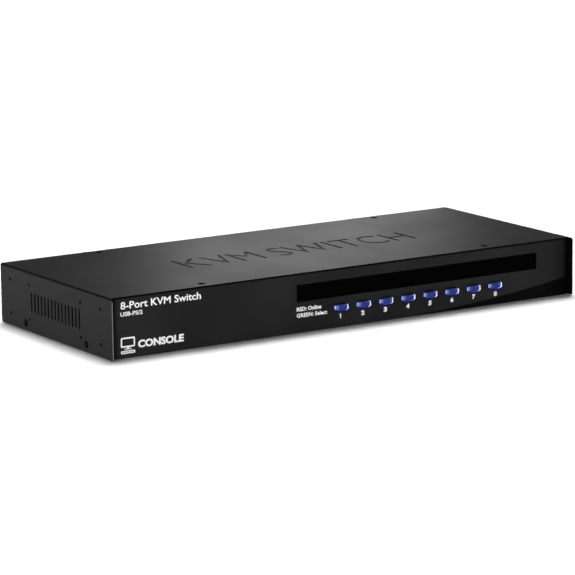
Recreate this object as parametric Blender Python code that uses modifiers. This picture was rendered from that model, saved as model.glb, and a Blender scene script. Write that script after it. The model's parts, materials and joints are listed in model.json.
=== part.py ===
"""Eight-port rack-height KVM switch: steel case, front buttons and lights, boards and rear sockets.

Metres, +Z up. The front faces -Y and +X is to the right of someone facing it. The origin is at the
middle of the base. Each sub-part is one object, and each button slides along Y from its own origin.
"""

import math

import bmesh
import bpy
from mathutils import Matrix, Vector

MM = 0.001

# Driving dimensions
BODY_WIDTH = 398 * MM
BODY_DEPTH = 165 * MM
BODY_HEIGHT = 44 * MM
SHEET = 1.2 * MM
GAP = 0.3 * MM
SOCKET_REACH = 5.8 * MM
WALL_PROJECTION = 4.0 * MM
PANEL_SETBACK = 4.5 * MM
BEND_RADIUS = 1.5 * MM
BEND_ANGLE = math.radians(40)

# Planes that follow from them
FRONT_Y = -(BODY_DEPTH + SOCKET_REACH - GAP) / 2
REAR_Y = FRONT_Y + BODY_DEPTH
TOP_FRONT_Y = FRONT_Y + WALL_PROJECTION
PANEL_FACE_Y = FRONT_Y + PANEL_SETBACK
PANEL_THICKNESS = 1.0 * MM
CHASSIS_FRONT_Y = PANEL_FACE_Y + PANEL_THICKNESS + GAP
CHASSIS_REAR_Y = REAR_Y - GAP
CHASSIS_HALF_WIDTH = BODY_WIDTH / 2 - SHEET - GAP
CHASSIS_TOP = BODY_HEIGHT - SHEET - GAP
INSIDE_FRONT_Y = CHASSIS_FRONT_Y + SHEET
INSIDE_REAR_Y = CHASSIS_REAR_Y - SHEET
BEYOND = 5 * MM

# Chassis
FRONT_FLANGE = 14 * MM
REAR_FLANGE = 12 * MM
LIP_TOP = 12.5 * MM
LIP_CLEAR = 4 * MM

# Top cover
CORNER_RADIUS = 3 * MM
FOOT_RADIUS = 1.5 * MM
CORNER_OVERRUN = 0.03 * MM
CORNER_STEPS = 5
EDGE_BREAK = 0.5 * MM
COVER_BASE = 0.3 * MM
VENT_COUNT = 15
VENT_PITCH = 5.05 * MM
VENT_WIDTH = 1.9 * MM
VENT_LOW = 14.9 * MM
VENT_HIGH = 29.2 * MM
VENT_FRONT_Y = FRONT_Y + 47.3 * MM
EAR_HOLE_RADIUS = 1.25 * MM
EAR_HOLE_LOW_Z = 9.3 * MM
EAR_HOLE_HIGH_Z = 34.5 * MM
EAR_HOLE_SETBACKS = (16.6 * MM, 45.5 * MM, 121.2 * MM, 150.6 * MM)
LETTERING = "VM SWITCH"
LETTERING_FIRST = (
    (0, 0),
    (0.10, 0),
    (0.10, 0.34),
    (0.22, 0.47),
    (0.54, 0),
    (0.66, 0),
    (0.29, 0.55),
    (0.64, 1),
    (0.51, 1),
    (0.10, 0.48),
    (0.10, 1),
    (0, 1),
)
LETTERING_SPACE = 4 * MM
LETTERING_HEIGHT = 29.5 * MM
LETTERING_TEXT_SIZE = 1.4 * LETTERING_HEIGHT
LETTERING_WIDTH = 199 * MM
LETTERING_THINNING = 0.35 * MM
LETTERING_DEPTH = 0.35 * MM
LETTERING_X = 3.5 * MM
LETTERING_SETBACK = 81.5 * MM

# Screws
SCREW_HEAD_RADIUS = 2.5 * MM
SCREW_HEAD_EDGE = 0.15 * MM
SCREW_HEAD_SUNK = 0.6 * MM
SCREW_CLEARANCE = 0.35 * MM
SCREW_SHANK_RADIUS = 1.5 * MM
SCREW_HOLE_RADIUS = 2.1 * MM
SCREW_LENGTH = 6.0 * MM
SCREW_SEGMENTS = 16
TOP_SCREW_SPOTS = (
    (-119.5 * MM, FRONT_Y + 12.4 * MM),
    (125.5 * MM, FRONT_Y + 12.4 * MM),
    (-119.5 * MM, REAR_Y - 6.0 * MM),
    (125.5 * MM, REAR_Y - 6.0 * MM),
)
SIDE_SCREW_SETBACKS = (38.0 * MM, 127.5 * MM)
SIDE_SCREW_Z = 5.6 * MM

# Front panel, window and buttons
PANEL_SIDE_GAP = 0.9 * MM
PANEL_HALF_WIDTH = BODY_WIDTH / 2 - SHEET - PANEL_SIDE_GAP
PANEL_LOW = 0.3 * MM
PANEL_HIGH = BODY_HEIGHT - SHEET - GAP
WINDOW_LEFT = -45.2 * MM
WINDOW_RIGHT = 167.8 * MM
WINDOW_LOW = 22.8 * MM
WINDOW_HIGH = 35.3 * MM
WINDOW_FLANGE = 2.0 * MM
WINDOW_FLANGE_THICKNESS = 1.0 * MM
PORTS = 8
BUTTON_FIRST_X = -7.4 * MM
BUTTON_PITCH = 19.56 * MM
BUTTON_Z = 14.95 * MM
BUTTON_WIDTH = 12.6 * MM
BUTTON_HEIGHT = 5.6 * MM
BUTTON_CORNER = 2.3 * MM
BUTTON_PROUD = 2.6 * MM
BUTTON_RIM = 1.5 * MM
BUTTON_TRAVEL = 0.8 * MM
BUTTON_FLANGE = 1.0 * MM
BUTTON_FLANGE_EDGE = (1.0 * MM, 1.2 * MM)
STEM_RADIUS = 1.7 * MM
STEP_DEPTH = 0.3 * MM
STEP_START_X = 22 * MM
STEP_RADIUS = 1111 * MM
STEP_POINTS = 24

# Front board, behind the front wall
FLANGE_BACK_Y = INSIDE_FRONT_Y + GAP + BUTTON_FLANGE
SWITCH_FRONT_Y = FLANGE_BACK_Y + BUTTON_TRAVEL + 2 * GAP
SWITCH_SIZE = 6.0 * MM
SWITCH_DEPTH = 3.5 * MM
SWITCH_BORE = 3.0 * MM
STEM_ENTRY = 1.5 * MM
FRONT_BOARD_Y = SWITCH_FRONT_Y + SWITCH_DEPTH + GAP
BOARD_THICKNESS = 1.6 * MM
FRONT_BOARD_LEFT = -56 * MM
FRONT_BOARD_RIGHT = 176 * MM
FRONT_BOARD_LOW = 5 * MM
FRONT_BOARD_HIGH = 36.5 * MM
FRONT_POST_XS = (-51 * MM, 171 * MM)
FRONT_POST_Z = 13 * MM
FRONT_POST_BORE_LENGTH = 2 * 5 * MM
POST_RADIUS = 2.8 * MM
POST_BORE_RADIUS = 1.8 * MM
LIGHT_Z = (WINDOW_LOW + WINDOW_HIGH) / 2
LIGHT_RADIUS = 1.5 * MM
LIGHT_COLLAR_RADIUS = 1.9 * MM
LIGHT_COLLAR = 1.0 * MM
LIGHT_LENGTH = 5.3 * MM
DISPLAY_X = 152 * MM
DISPLAY_SIZE = (15.0 * MM, 5.0 * MM, 10.0 * MM)

# Main board, over the bottom pan
MAIN_BOARD_Z = 10 * MM
MAIN_BOARD_HALF_WIDTH = 191 * MM
MAIN_BOARD_FRONT_Y = -40 * MM
MAIN_BOARD_REAR_Y = INSIDE_REAR_Y - 3 * MM
BOARD_SCREW_INSET = 6 * MM
BOARD_TOP = MAIN_BOARD_Z + BOARD_THICKNESS
SOCKET_BASE = BOARD_TOP + GAP
PAN_SCREW_HEAD_RADIUS = 2.6 * MM
PAN_SCREW_HEAD_HEIGHT = 1.8 * MM
PAN_SCREW_LENGTH = 6 * MM
BOARD_HOLE_LENGTH = 5 * MM
POST_BORE_LENGTH = 2 * 6 * MM
CHIP_SIZE = (20 * MM, 20 * MM, 2.4 * MM)

# Fifteen-pin sockets
PLATE_WIDTH = 30.8 * MM
PLATE_HEIGHT = 12.5 * MM
PLATE_THICKNESS = 1.0 * MM
PLATE_BACK_Y = INSIDE_REAR_Y - GAP - PLATE_THICKNESS
SOCKET_BODY_DEPTH = 11 * MM
SOCKET_FRONT_Y = PLATE_BACK_Y - SOCKET_BODY_DEPTH
SHELL_WIDTH = 16.9 * MM
SHELL_HEIGHT = 8.3 * MM
SHELL_TAPER = 0.9
SHELL_CORNER = 2.0 * MM
HEX_SPACING = 25 * MM
HEX_RADIUS = 2.9 * MM
HEX_REACH = 4.6 * MM
SOCKET_Z = SOCKET_BASE + PLATE_HEIGHT / 2
PC_SOCKET_FIRST_X = 50 * MM
PC_SOCKET_PITCH = 32 * MM
DAISY_CHAIN_X = 85 * MM
CONSOLE_VIDEO_X = 119 * MM

# Other rear sockets
PS2_X = 146 * MM
PS2_SIZE = (14 * MM, 26 * MM)
PS2_OUTER_RADIUS = 4.5 * MM
PS2_CORE_RADIUS = 3.8 * MM
PS2_GROOVE = 3 * MM
PS2_SHARES = (0.25, 0.75)
USB_X = 165 * MM
USB_SIZE = (14.4 * MM, 15.6 * MM)
USB_MOUTH = (12.5 * MM, 5.1 * MM)
USB_MOUTH_DEPTH = 9 * MM
USB_TONGUE = (10.6 * MM, 1.8 * MM)
USB_SHARES = (0.27, 0.73)
DC_X = 182.5 * MM
DC_SIZE = (9 * MM, 11 * MM)
DC_BORE_RADIUS = 3.2 * MM
DC_PIN_RADIUS = 1.0 * MM
DC_BORE_DEPTH = 9 * MM
REAR_SOCKET_DEPTH = 14 * MM
REAR_SOCKET_PROUD = 0.6 * MM
REAR_SOCKET_FRONT_Y = INSIDE_REAR_Y - REAR_SOCKET_DEPTH
REAR_SOCKET_FACE_Y = REAR_Y + REAR_SOCKET_PROUD
MOUTH_SETBACK = 1 * MM

# Ribbon cable between the boards
RIBBON_X = 60 * MM
RIBBON_WIDTH = 20 * MM
RIBBON_THICKNESS = 1.0 * MM
RIBBON_PLUG_DEPTH = 4 * MM
RIBBON_PLUG_EDGE = 1 * MM
RIBBON_PLUG_HALF_THICKNESS = 2.5 * MM
RIBBON_ENTRY = 1 * MM
RIBBON_BEND_RADIUS = 8 * MM
RIBBON_HEADER_Z = 27 * MM
RIBBON_HEADER_Y = MAIN_BOARD_FRONT_Y + 8 * MM

ALONG_X = Matrix.Rotation(math.pi / 2, 4, "Y")
ALONG_Y = Matrix.Rotation(-math.pi / 2, 4, "X")
ALONG_Z = Matrix.Identity(4)
UPRIGHT = Matrix.Rotation(math.pi / 2, 4, "X")
SIDEWAYS = Matrix(((0, 0, 1, 0), (1, 0, 0, 0), (0, 1, 0, 0), (0, 0, 0, 1)))


def clear_scene():
    for obj in list(bpy.data.objects):
        bpy.data.objects.remove(obj, do_unlink=True)


def new_collection(name):
    collection = bpy.data.collections.new(name)
    bpy.context.scene.collection.children.link(collection)
    return collection


clear_scene()
PARTS = new_collection("kvm_switch")
CUTTERS = new_collection("cutters")
CUTTERS.hide_render = True


def material(name, colour, roughness, metallic=0.0):
    made = bpy.data.materials.new(name)
    made.use_nodes = True
    shader = made.node_tree.nodes["Principled BSDF"]
    shader.inputs["Base Color"].default_value = (*colour, 1.0)
    shader.inputs["Roughness"].default_value = roughness
    shader.inputs["Metallic"].default_value = metallic
    made.diffuse_color = (*colour, 1.0)
    return made


CASE_BLACK = material("case_black", (0.030, 0.030, 0.031), 0.55)
PANEL_BLACK = material("panel_black", (0.012, 0.012, 0.012), 0.50)
WINDOW_SMOKE = material("window_smoke", (0.002, 0.002, 0.002), 0.08)
BUTTON_BLUE = material("button_blue", (0.035, 0.055, 0.42), 0.18)
SCREW_BLACK = material("screw_black", (0.010, 0.010, 0.010), 0.35, metallic=0.6)
ZINC = material("zinc", (0.55, 0.55, 0.53), 0.35, metallic=1.0)
SOCKET_METAL = material("socket_metal", (0.62, 0.61, 0.58), 0.28, metallic=1.0)
SOCKET_PLASTIC = material("socket_plastic", (0.020, 0.020, 0.022), 0.50)
BOARD_GREEN = material("board_green", (0.020, 0.120, 0.045), 0.45)
CHIP_BLACK = material("chip_black", (0.015, 0.015, 0.016), 0.60)
LIGHT_CLEAR = material("light_clear", (0.55, 0.50, 0.42), 0.25)
RIBBON_GREY = material("ribbon_grey", (0.35, 0.35, 0.36), 0.60)


def add_object(name, mesh, location, made_of=None):
    """A sub-part when it has a material, otherwise a cutter or a piece joined to a sub-part."""
    obj = bpy.data.objects.new(name, mesh)
    obj.location = location
    if made_of is None:
        CUTTERS.objects.link(obj)
        obj.hide_render = True
        obj.display_type = "WIRE"
        return obj
    PARTS.objects.link(obj)
    mesh.materials.clear()
    mesh.materials.append(made_of)
    return obj


def mesh_of(name, shape):
    mesh = bpy.data.meshes.new(name)
    shape.to_mesh(mesh)
    shape.free()
    return mesh


def smooth(obj, angle=math.radians(35)):
    obj.data.shade_smooth()
    obj.data.set_sharp_from_angle(angle=angle)
    return obj


def box(name, size, centre, made_of=None):
    shape = bmesh.new()
    bmesh.ops.create_cube(shape, size=1)
    bmesh.ops.scale(shape, vec=size, verts=shape.verts)
    return add_object(name, mesh_of(name, shape), centre, made_of)


def box_between(name, low, high, made_of=None):
    low, high = Vector(low), Vector(high)
    return box(name, high - low, (low + high) / 2, made_of)


def cone(name, radius_low, radius_high, length, centre, turn, made_of=None, segments=16):
    """A cone or cylinder along +Z turned by a matrix, centred on its length."""
    shape = bmesh.new()
    bmesh.ops.create_cone(
        shape,
        cap_ends=True,
        segments=segments,
        radius1=radius_low,
        radius2=radius_high,
        depth=length,
        matrix=turn,
    )
    return add_object(name, mesh_of(name, shape), centre, made_of)


def cylinder(name, radius, length, centre, turn, made_of=None, segments=16):
    return cone(name, radius, radius, length, centre, turn, made_of, segments)


def rounded_bar(name, size, centre, corner, steps, made_of=None):
    """A box whose four edges along Y are rounded."""
    shape = bmesh.new()
    bmesh.ops.create_cube(shape, size=1)
    bmesh.ops.scale(shape, vec=size, verts=shape.verts)
    edges = [e for e in shape.edges if abs(e.verts[0].co.y - e.verts[1].co.y) > size[1] / 2]
    bmesh.ops.bevel(shape, geom=edges, offset=corner, segments=steps, affect="EDGES", profile=0.5)
    return add_object(name, mesh_of(name, shape), centre, made_of)


def turned(name, profile, location, turn, made_of=None, steps=16):
    """A turned solid: the profile is (radius, height) from its top on the axis down to its base."""
    shape = bmesh.new()
    points = [shape.verts.new((radius, 0, height)) for radius, height in profile]
    for start, end in zip(points, points[1:]):
        shape.edges.new((start, end))
    obj = add_object(name, mesh_of(name, shape), location, made_of)
    screw = obj.modifiers.new("turn", "SCREW")
    screw.steps = steps
    screw.render_steps = steps
    screw.use_merge_vertices = True
    screw.merge_threshold = 0.00001
    obj.rotation_euler = turn.to_euler()
    return obj


def boolean(target, others, operation="DIFFERENCE"):
    for other in others:
        modifier = target.modifiers.new(other.name, "BOOLEAN")
        modifier.operation = operation
        modifier.object = other
    return target


def cut(target, *cutters):
    return boolean(target, cutters)


def join(target, *others):
    return boolean(target, others, "UNION")


def open_surface(name, outline, along, made_of):
    """A folded sheet: the outline's (y, z) or (x, z) points swept along X or Y, centred."""
    length = along[0] or along[1]
    shape = bmesh.new()
    points = []
    for across, height in outline:
        place = (-length / 2, across, height) if along[0] else (across, -length / 2, height)
        points.append(shape.verts.new(place))
    edges = [shape.edges.new(pair) for pair in zip(points, points[1:])]
    swept = bmesh.ops.extrude_edge_only(shape, edges=edges)
    moved = [item for item in swept["geom"] if isinstance(item, bmesh.types.BMVert)]
    bmesh.ops.translate(shape, vec=(along[0], along[1], 0), verts=moved)
    return add_object(name, mesh_of(name, shape), (0, 0, 0), made_of)


def bend_and_thicken(obj, radius, thickness, offset):
    bend = obj.modifiers.new("bends", "BEVEL")
    bend.width = radius
    bend.segments = 3
    bend.limit_method = "ANGLE"
    bend.angle_limit = BEND_ANGLE
    sheet = obj.modifiers.new("sheet", "SOLIDIFY")
    sheet.thickness = thickness
    sheet.offset = offset
    sheet.use_even_offset = True


def filled_outline(name, points, depth, location, turn):
    """A flat outline made solid: its front face is at the location, and the turn lays it down."""
    curve = bpy.data.curves.new(name, "CURVE")
    curve.dimensions = "2D"
    curve.fill_mode = "BOTH"
    curve.extrude = depth / 2
    spline = curve.splines.new("POLY")
    spline.points.add(len(points) - 1)
    for point, (across, up) in zip(spline.points, points):
        point.co = (across, up, 0, 1)
    spline.use_cyclic_u = True
    return solid_from_curve(name, curve, turn, location, depth)


def solid_from_curve(name, curve, turn, location, depth):
    """Makes a closed mesh from an extruded curve, turned, with its front face at the location."""
    holder = bpy.data.objects.new(name, curve)
    bpy.context.scene.collection.objects.link(holder)
    bpy.context.view_layer.update()
    graph = bpy.context.evaluated_depsgraph_get()
    mesh = bpy.data.meshes.new_from_object(holder.evaluated_get(graph))
    bpy.data.objects.remove(holder, do_unlink=True)
    shape = bmesh.new()
    shape.from_mesh(mesh)
    bpy.data.meshes.remove(mesh)
    bmesh.ops.remove_doubles(shape, verts=shape.verts, dist=0.000001)
    bmesh.ops.transform(shape, matrix=turn, verts=shape.verts)
    bmesh.ops.recalc_face_normals(shape, faces=shape.faces)
    middle = Vector(location) + turn.to_3x3() @ Vector((0, 0, -depth / 2))
    return add_object(name, mesh_of(name, shape), middle)


def arc(centre_x, centre_z, radius, start, end, steps):
    """Points along an arc, angles in degrees."""
    found = []
    for step in range(steps + 1):
        angle = math.radians(start + (end - start) * step / steps)
        found.append((centre_x + radius * math.cos(angle), centre_z + radius * math.sin(angle)))
    return found


def port_x(port):
    return BUTTON_FIRST_X + port * BUTTON_PITCH


def socket_xs():
    """Every fifteen-pin socket's name and place along X."""
    places = {f"pc_socket_{n + 1}": PC_SOCKET_FIRST_X - n * PC_SOCKET_PITCH for n in range(PORTS)}
    places["daisy_chain_socket"] = DAISY_CHAIN_X
    places["console_video_socket"] = CONSOLE_VIDEO_X
    return places


def repeated(obj, count, step):
    array = obj.modifiers.new("row", "ARRAY")
    array.count = count
    array.use_relative_offset = False
    array.use_constant_offset = True
    array.constant_offset_displace = step
    return obj


# Case


def screw_hole_cutter(name, spot, turn):
    """Room for a sunk screw: a straight mouth from the sheet's face at the spot, a cone, and its shank's hole."""
    mouth = SCREW_HEAD_RADIUS + SCREW_CLEARANCE
    cone = -SCREW_HEAD_SUNK - SCREW_HEAD_EDGE
    end = -SCREW_LENGTH - BEYOND
    profile = [
        (0, SHEET),
        (mouth, SHEET),
        (mouth, cone),
        (SCREW_HOLE_RADIUS, cone + SCREW_HOLE_RADIUS - mouth),
        (SCREW_HOLE_RADIUS, end),
        (0, end),
    ]
    return turned(name, profile, spot, turn, steps=SCREW_SEGMENTS)


def screw_spots():
    """Each case screw's name, the middle of its hole's mouth, and its turn."""
    spots = []
    for number, (x, y) in enumerate(TOP_SCREW_SPOTS, 1):
        spots.append((f"top_screw_{number}", (x, y, BODY_HEIGHT), ALONG_Z))
    number = 1
    for side in (-1, 1):
        for setback in SIDE_SCREW_SETBACKS:
            spot = (side * BODY_WIDTH / 2, FRONT_Y + setback, SIDE_SCREW_Z)
            turn = Matrix.Rotation(side * math.pi / 2, 4, "Y")
            spots.append((f"side_screw_{number}", spot, turn))
            number += 1
    return spots


def corner_cutter(name, corner, inward, radius):
    """What lies outside one rounded corner of the side walls: the corner and the way in are (y, z)."""
    reach = radius - CORNER_OVERRUN
    outward = Vector(inward) * -BEYOND
    points = []
    for across, up in arc(0, 0, radius, 0, 90, CORNER_STEPS):
        points.append(
            (corner[0] + inward[0] * (reach - across), corner[1] + inward[1] * (reach - up))
        )
    points += [
        (corner[0] + inward[0] * reach, corner[1] + outward.y),
        (corner[0] + outward.x, corner[1] + outward.y),
        (corner[0] + outward.x, corner[1] + inward[1] * reach),
    ]
    length = BODY_WIDTH + 2 * BEYOND
    return filled_outline(name, points, length, (length / 2, 0, 0), SIDEWAYS)


def wall_cutters():
    """The rounded corners of the side walls, and their outer front edges, broken as sheared sheet is."""
    cutters = [
        corner_cutter("top_corners", (FRONT_Y, BODY_HEIGHT), (1, -1), CORNER_RADIUS),
        corner_cutter("front_foot_corners", (FRONT_Y, COVER_BASE), (1, 1), FOOT_RADIUS),
        corner_cutter("rear_foot_corners", (REAR_Y, COVER_BASE), (-1, 1), FOOT_RADIUS),
    ]
    side_length = EDGE_BREAK * math.sqrt(2)
    for side in (-1, 1):
        size = (side_length, side_length, BODY_HEIGHT + BEYOND)
        corner = (side * BODY_WIDTH / 2, FRONT_Y, BODY_HEIGHT / 2)
        edge = box(f"wall_edge_{side}", size, corner)
        edge.rotation_euler.z = math.pi / 4
        cutters.append(edge)
    return cutters


def lettering_cutters():
    """Shallow strokes of the words on the top: the first letter is drawn, the rest are text."""
    left = LETTERING_X - LETTERING_WIDTH / 2
    low = FRONT_Y + LETTERING_SETBACK - LETTERING_HEIGHT / 2
    drawn = [(x * LETTERING_HEIGHT, y * LETTERING_HEIGHT) for x, y in LETTERING_FIRST]
    start = (left, low, BODY_HEIGHT + LETTERING_DEPTH)
    first = filled_outline("lettering_first", drawn, 2 * LETTERING_DEPTH, start, ALONG_Z)
    text = bpy.data.curves.new("lettering", "FONT")
    text.body = LETTERING
    text.size = LETTERING_TEXT_SIZE
    text.resolution_u = 3
    text.offset = -LETTERING_THINNING
    text.extrude = LETTERING_DEPTH
    rest = solid_from_curve("lettering", text, ALONG_Z, start, 2 * LETTERING_DEPTH)
    points = [vertex.co for vertex in rest.data.vertices]
    corner = Vector((min(point.x for point in points), min(point.y for point in points), 0))
    size = Vector((max(point.x for point in points), max(point.y for point in points), 0)) - corner
    rest_left = max(x for x, _ in drawn) + LETTERING_SPACE
    fit = Vector(((LETTERING_WIDTH - rest_left) / size.x, LETTERING_HEIGHT / size.y, 1))
    for point in points:
        point.xyz = (point - corner) * fit
    rest.location.x += rest_left
    return first, rest


def make_top_cover(ear_holes, screw_holes):
    half = BODY_WIDTH / 2
    outline = [(-half, COVER_BASE), (-half, BODY_HEIGHT), (half, BODY_HEIGHT), (half, COVER_BASE)]
    cover = open_surface("top_cover", outline, (0, BODY_DEPTH), CASE_BLACK)
    cover.location.y = (FRONT_Y + REAR_Y) / 2
    bend_and_thicken(cover, BEND_RADIUS, SHEET, 1)
    inside = half - SHEET
    notch = box_between(
        "cover_notch",
        (-inside, FRONT_Y - BEYOND, BODY_HEIGHT / 2),
        (inside, TOP_FRONT_Y, BODY_HEIGHT + BEYOND),
    )
    vents = box_between(
        "vents",
        (-half - BEYOND, VENT_FRONT_Y - VENT_WIDTH / 2, VENT_LOW),
        (half + BEYOND, VENT_FRONT_Y + VENT_WIDTH / 2, VENT_HIGH),
    )
    repeated(vents, VENT_COUNT, (0, VENT_PITCH, 0))
    cut(cover, notch, *wall_cutters(), vents, *ear_holes, *screw_holes, *lettering_cutters())
    cover.modifiers["lettering"].solver = "MANIFOLD"
    return smooth(cover)


def ear_hole_cutters(row_name, row_z):
    """One row of small holes for screwing on rack ears, through both side walls."""
    cutters = []
    for number, setback in enumerate(EAR_HOLE_SETBACKS, 1):
        name = f"ear_hole_{row_name}_{number}"
        spot = (0, FRONT_Y + setback, row_z)
        length = BODY_WIDTH + BEYOND
        cutters.append(cylinder(name, EAR_HOLE_RADIUS, length, spot, ALONG_X, segments=10))
    return cutters


def board_screw_spots():
    xs = (-MAIN_BOARD_HALF_WIDTH + BOARD_SCREW_INSET, MAIN_BOARD_HALF_WIDTH - BOARD_SCREW_INSET)
    ys = (MAIN_BOARD_FRONT_Y + BOARD_SCREW_INSET, MAIN_BOARD_REAR_Y - 4 * BOARD_SCREW_INSET)
    return [(x, y) for x in xs for y in ys]


def button_opening(name, margin, low_y, high_y):
    """Room for one button's cap, repeated along the row."""
    size = (BUTTON_WIDTH + 2 * margin, high_y - low_y, BUTTON_HEIGHT + 2 * margin)
    centre = (port_x(0), (low_y + high_y) / 2, BUTTON_Z)
    opening = rounded_bar(name, size, centre, BUTTON_CORNER + margin, 4)
    return repeated(opening, PORTS, (BUTTON_PITCH, 0, 0))


def make_chassis(ear_holes, screw_holes):
    outline = [
        (CHASSIS_FRONT_Y + FRONT_FLANGE, CHASSIS_TOP),
        (CHASSIS_FRONT_Y, CHASSIS_TOP),
        (CHASSIS_FRONT_Y, 0),
        (CHASSIS_REAR_Y, 0),
        (CHASSIS_REAR_Y, CHASSIS_TOP),
        (CHASSIS_REAR_Y - REAR_FLANGE, CHASSIS_TOP),
    ]
    chassis = open_surface("chassis", outline, (2 * CHASSIS_HALF_WIDTH, 0), CASE_BLACK)
    bend_and_thicken(chassis, BEND_RADIUS, SHEET, 1)
    for side in (-1, 1):
        outer = side * CHASSIS_HALF_WIDTH
        inner = side * (CHASSIS_HALF_WIDTH - SHEET)
        low_x, high_x = sorted((outer, inner))
        lip = box_between(
            f"lip_{side}",
            (low_x, CHASSIS_FRONT_Y + LIP_CLEAR, SHEET / 2),
            (high_x, CHASSIS_REAR_Y - LIP_CLEAR, LIP_TOP),
        )
        join(chassis, lip)
    post_base = SHEET / 2
    post_top = MAIN_BOARD_Z - GAP
    for number, (x, y) in enumerate(board_screw_spots(), 1):
        bottom, top = (x, y, post_base), (x, y, post_top)
        add_post(chassis, f"post_{number}", bottom, top, ALONG_Z, POST_BORE_LENGTH)
    low_y = INSIDE_FRONT_Y - SHEET / 2
    high_y = FRONT_BOARD_Y - GAP
    for number, x in enumerate(FRONT_POST_XS, 1):
        foot, mouth = (x, low_y, FRONT_POST_Z), (x, high_y, FRONT_POST_Z)
        add_post(chassis, f"front_post_{number}", foot, mouth, ALONG_Y, FRONT_POST_BORE_LENGTH)
    room = WINDOW_FLANGE + GAP
    through = (CHASSIS_FRONT_Y - SHEET, INSIDE_FRONT_Y + SHEET / 2)
    window_slot = box_between(
        "window_slot",
        (WINDOW_LEFT - room, through[0], WINDOW_LOW - room),
        (WINDOW_RIGHT + room, through[1], WINDOW_HIGH + room),
    )
    cut(chassis, window_slot, button_opening("wall_button_opening", 2 * GAP, *through))
    cut(chassis, *rear_cutters(), *screw_holes, *ear_holes)
    return smooth(chassis)


def add_post(chassis, name, foot, mouth, turn, bore_length):
    """A threaded post on the chassis, bored from its mouth."""
    foot, mouth = Vector(foot), Vector(mouth)
    length = (mouth - foot).length
    join(chassis, cylinder(name, POST_RADIUS, length, (foot + mouth) / 2, turn, segments=12))
    bore = cylinder(name + "_bore", POST_BORE_RADIUS, bore_length, mouth, turn, segments=12)
    cut(chassis, bore)


def rear_cutters():
    """Openings in the rear wall for every socket."""
    low_y, high_y = INSIDE_REAR_Y - SHEET, CHASSIS_REAR_Y + SHEET
    middle_y, depth = (low_y + high_y) / 2, high_y - low_y
    cutters = []
    for name, x in socket_xs().items():
        size = (SHELL_WIDTH + 2 * GAP, depth, SHELL_HEIGHT + 2 * GAP)
        cutters.append(box(name + "_opening", size, (x, middle_y, SOCKET_Z)))
        for side in (-1, 1):
            spot = (x + side * HEX_SPACING / 2, middle_y, SOCKET_Z)
            radius = HEX_RADIUS + GAP
            cutters.append(cylinder(f"{name}_post_{side}", radius, depth, spot, ALONG_Y, segments=8))
    for name, x, (width, height) in (
        ("ps2_opening", PS2_X, PS2_SIZE),
        ("usb_opening", USB_X, USB_SIZE),
        ("dc_opening", DC_X, DC_SIZE),
    ):
        size = (width + 2 * GAP, depth, height + 2 * GAP)
        cutters.append(box(name, size, (x, middle_y, SOCKET_BASE + height / 2)))
    return cutters


def make_case_screws():
    """Countersunk screws: flat head, cone, then shank."""
    head, shank = SCREW_HEAD_RADIUS, SCREW_SHANK_RADIUS
    face = -SCREW_HEAD_SUNK
    rim = face - SCREW_HEAD_EDGE
    profile = [
        (0, face),
        (head, face),
        (head, rim),
        (shank, rim - (head - shank)),
        (shank, -SCREW_LENGTH),
        (0, -SCREW_LENGTH),
    ]
    for name, spot, turn in screw_spots():
        smooth(turned(name, profile, spot, turn, SCREW_BLACK, SCREW_SEGMENTS))


# Front


def make_front_panel():
    panel = box_between(
        "front_panel",
        (-PANEL_HALF_WIDTH, PANEL_FACE_Y, PANEL_LOW),
        (PANEL_HALF_WIDTH, PANEL_FACE_Y + PANEL_THICKNESS, PANEL_HIGH),
        PANEL_BLACK,
    )
    through = (PANEL_FACE_Y - SHEET, PANEL_FACE_Y + PANEL_THICKNESS + SHEET)
    cut(
        panel,
        box_between(
            "window_opening",
            (WINDOW_LEFT, through[0], WINDOW_LOW),
            (WINDOW_RIGHT, through[1], WINDOW_HIGH),
        ),
        button_opening("button_opening", GAP, *through),
        step_cutter(),
    )
    return panel


def step_cutter():
    """The shallow area under a long arc that leaves the lower edge and rises to the right."""
    end_x = PANEL_HALF_WIDTH + SHEET
    points = []
    for number in range(STEP_POINTS + 1):
        x = STEP_START_X + (end_x - STEP_START_X) * number / STEP_POINTS
        rise = STEP_RADIUS - math.sqrt(STEP_RADIUS**2 - (x - STEP_START_X) ** 2)
        points.append((x, PANEL_LOW + rise))
    points += [(end_x, -BEYOND), (STEP_START_X, -BEYOND)]
    front = PANEL_FACE_Y - BEYOND
    return filled_outline("step", points, BEYOND + STEP_DEPTH, (0, front, 0), UPRIGHT)


def make_display_window():
    back = PANEL_FACE_Y + PANEL_THICKNESS + GAP
    window = box_between(
        "display_window",
        (WINDOW_LEFT + GAP, PANEL_FACE_Y, WINDOW_LOW + GAP),
        (WINDOW_RIGHT - GAP, back + GAP, WINDOW_HIGH - GAP),
        WINDOW_SMOKE,
    )
    flange = box_between(
        "window_flange",
        (WINDOW_LEFT - WINDOW_FLANGE, back, WINDOW_LOW - WINDOW_FLANGE),
        (WINDOW_RIGHT + WINDOW_FLANGE, back + WINDOW_FLANGE_THICKNESS, WINDOW_HIGH + WINDOW_FLANGE),
    )
    return join(window, flange)


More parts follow.
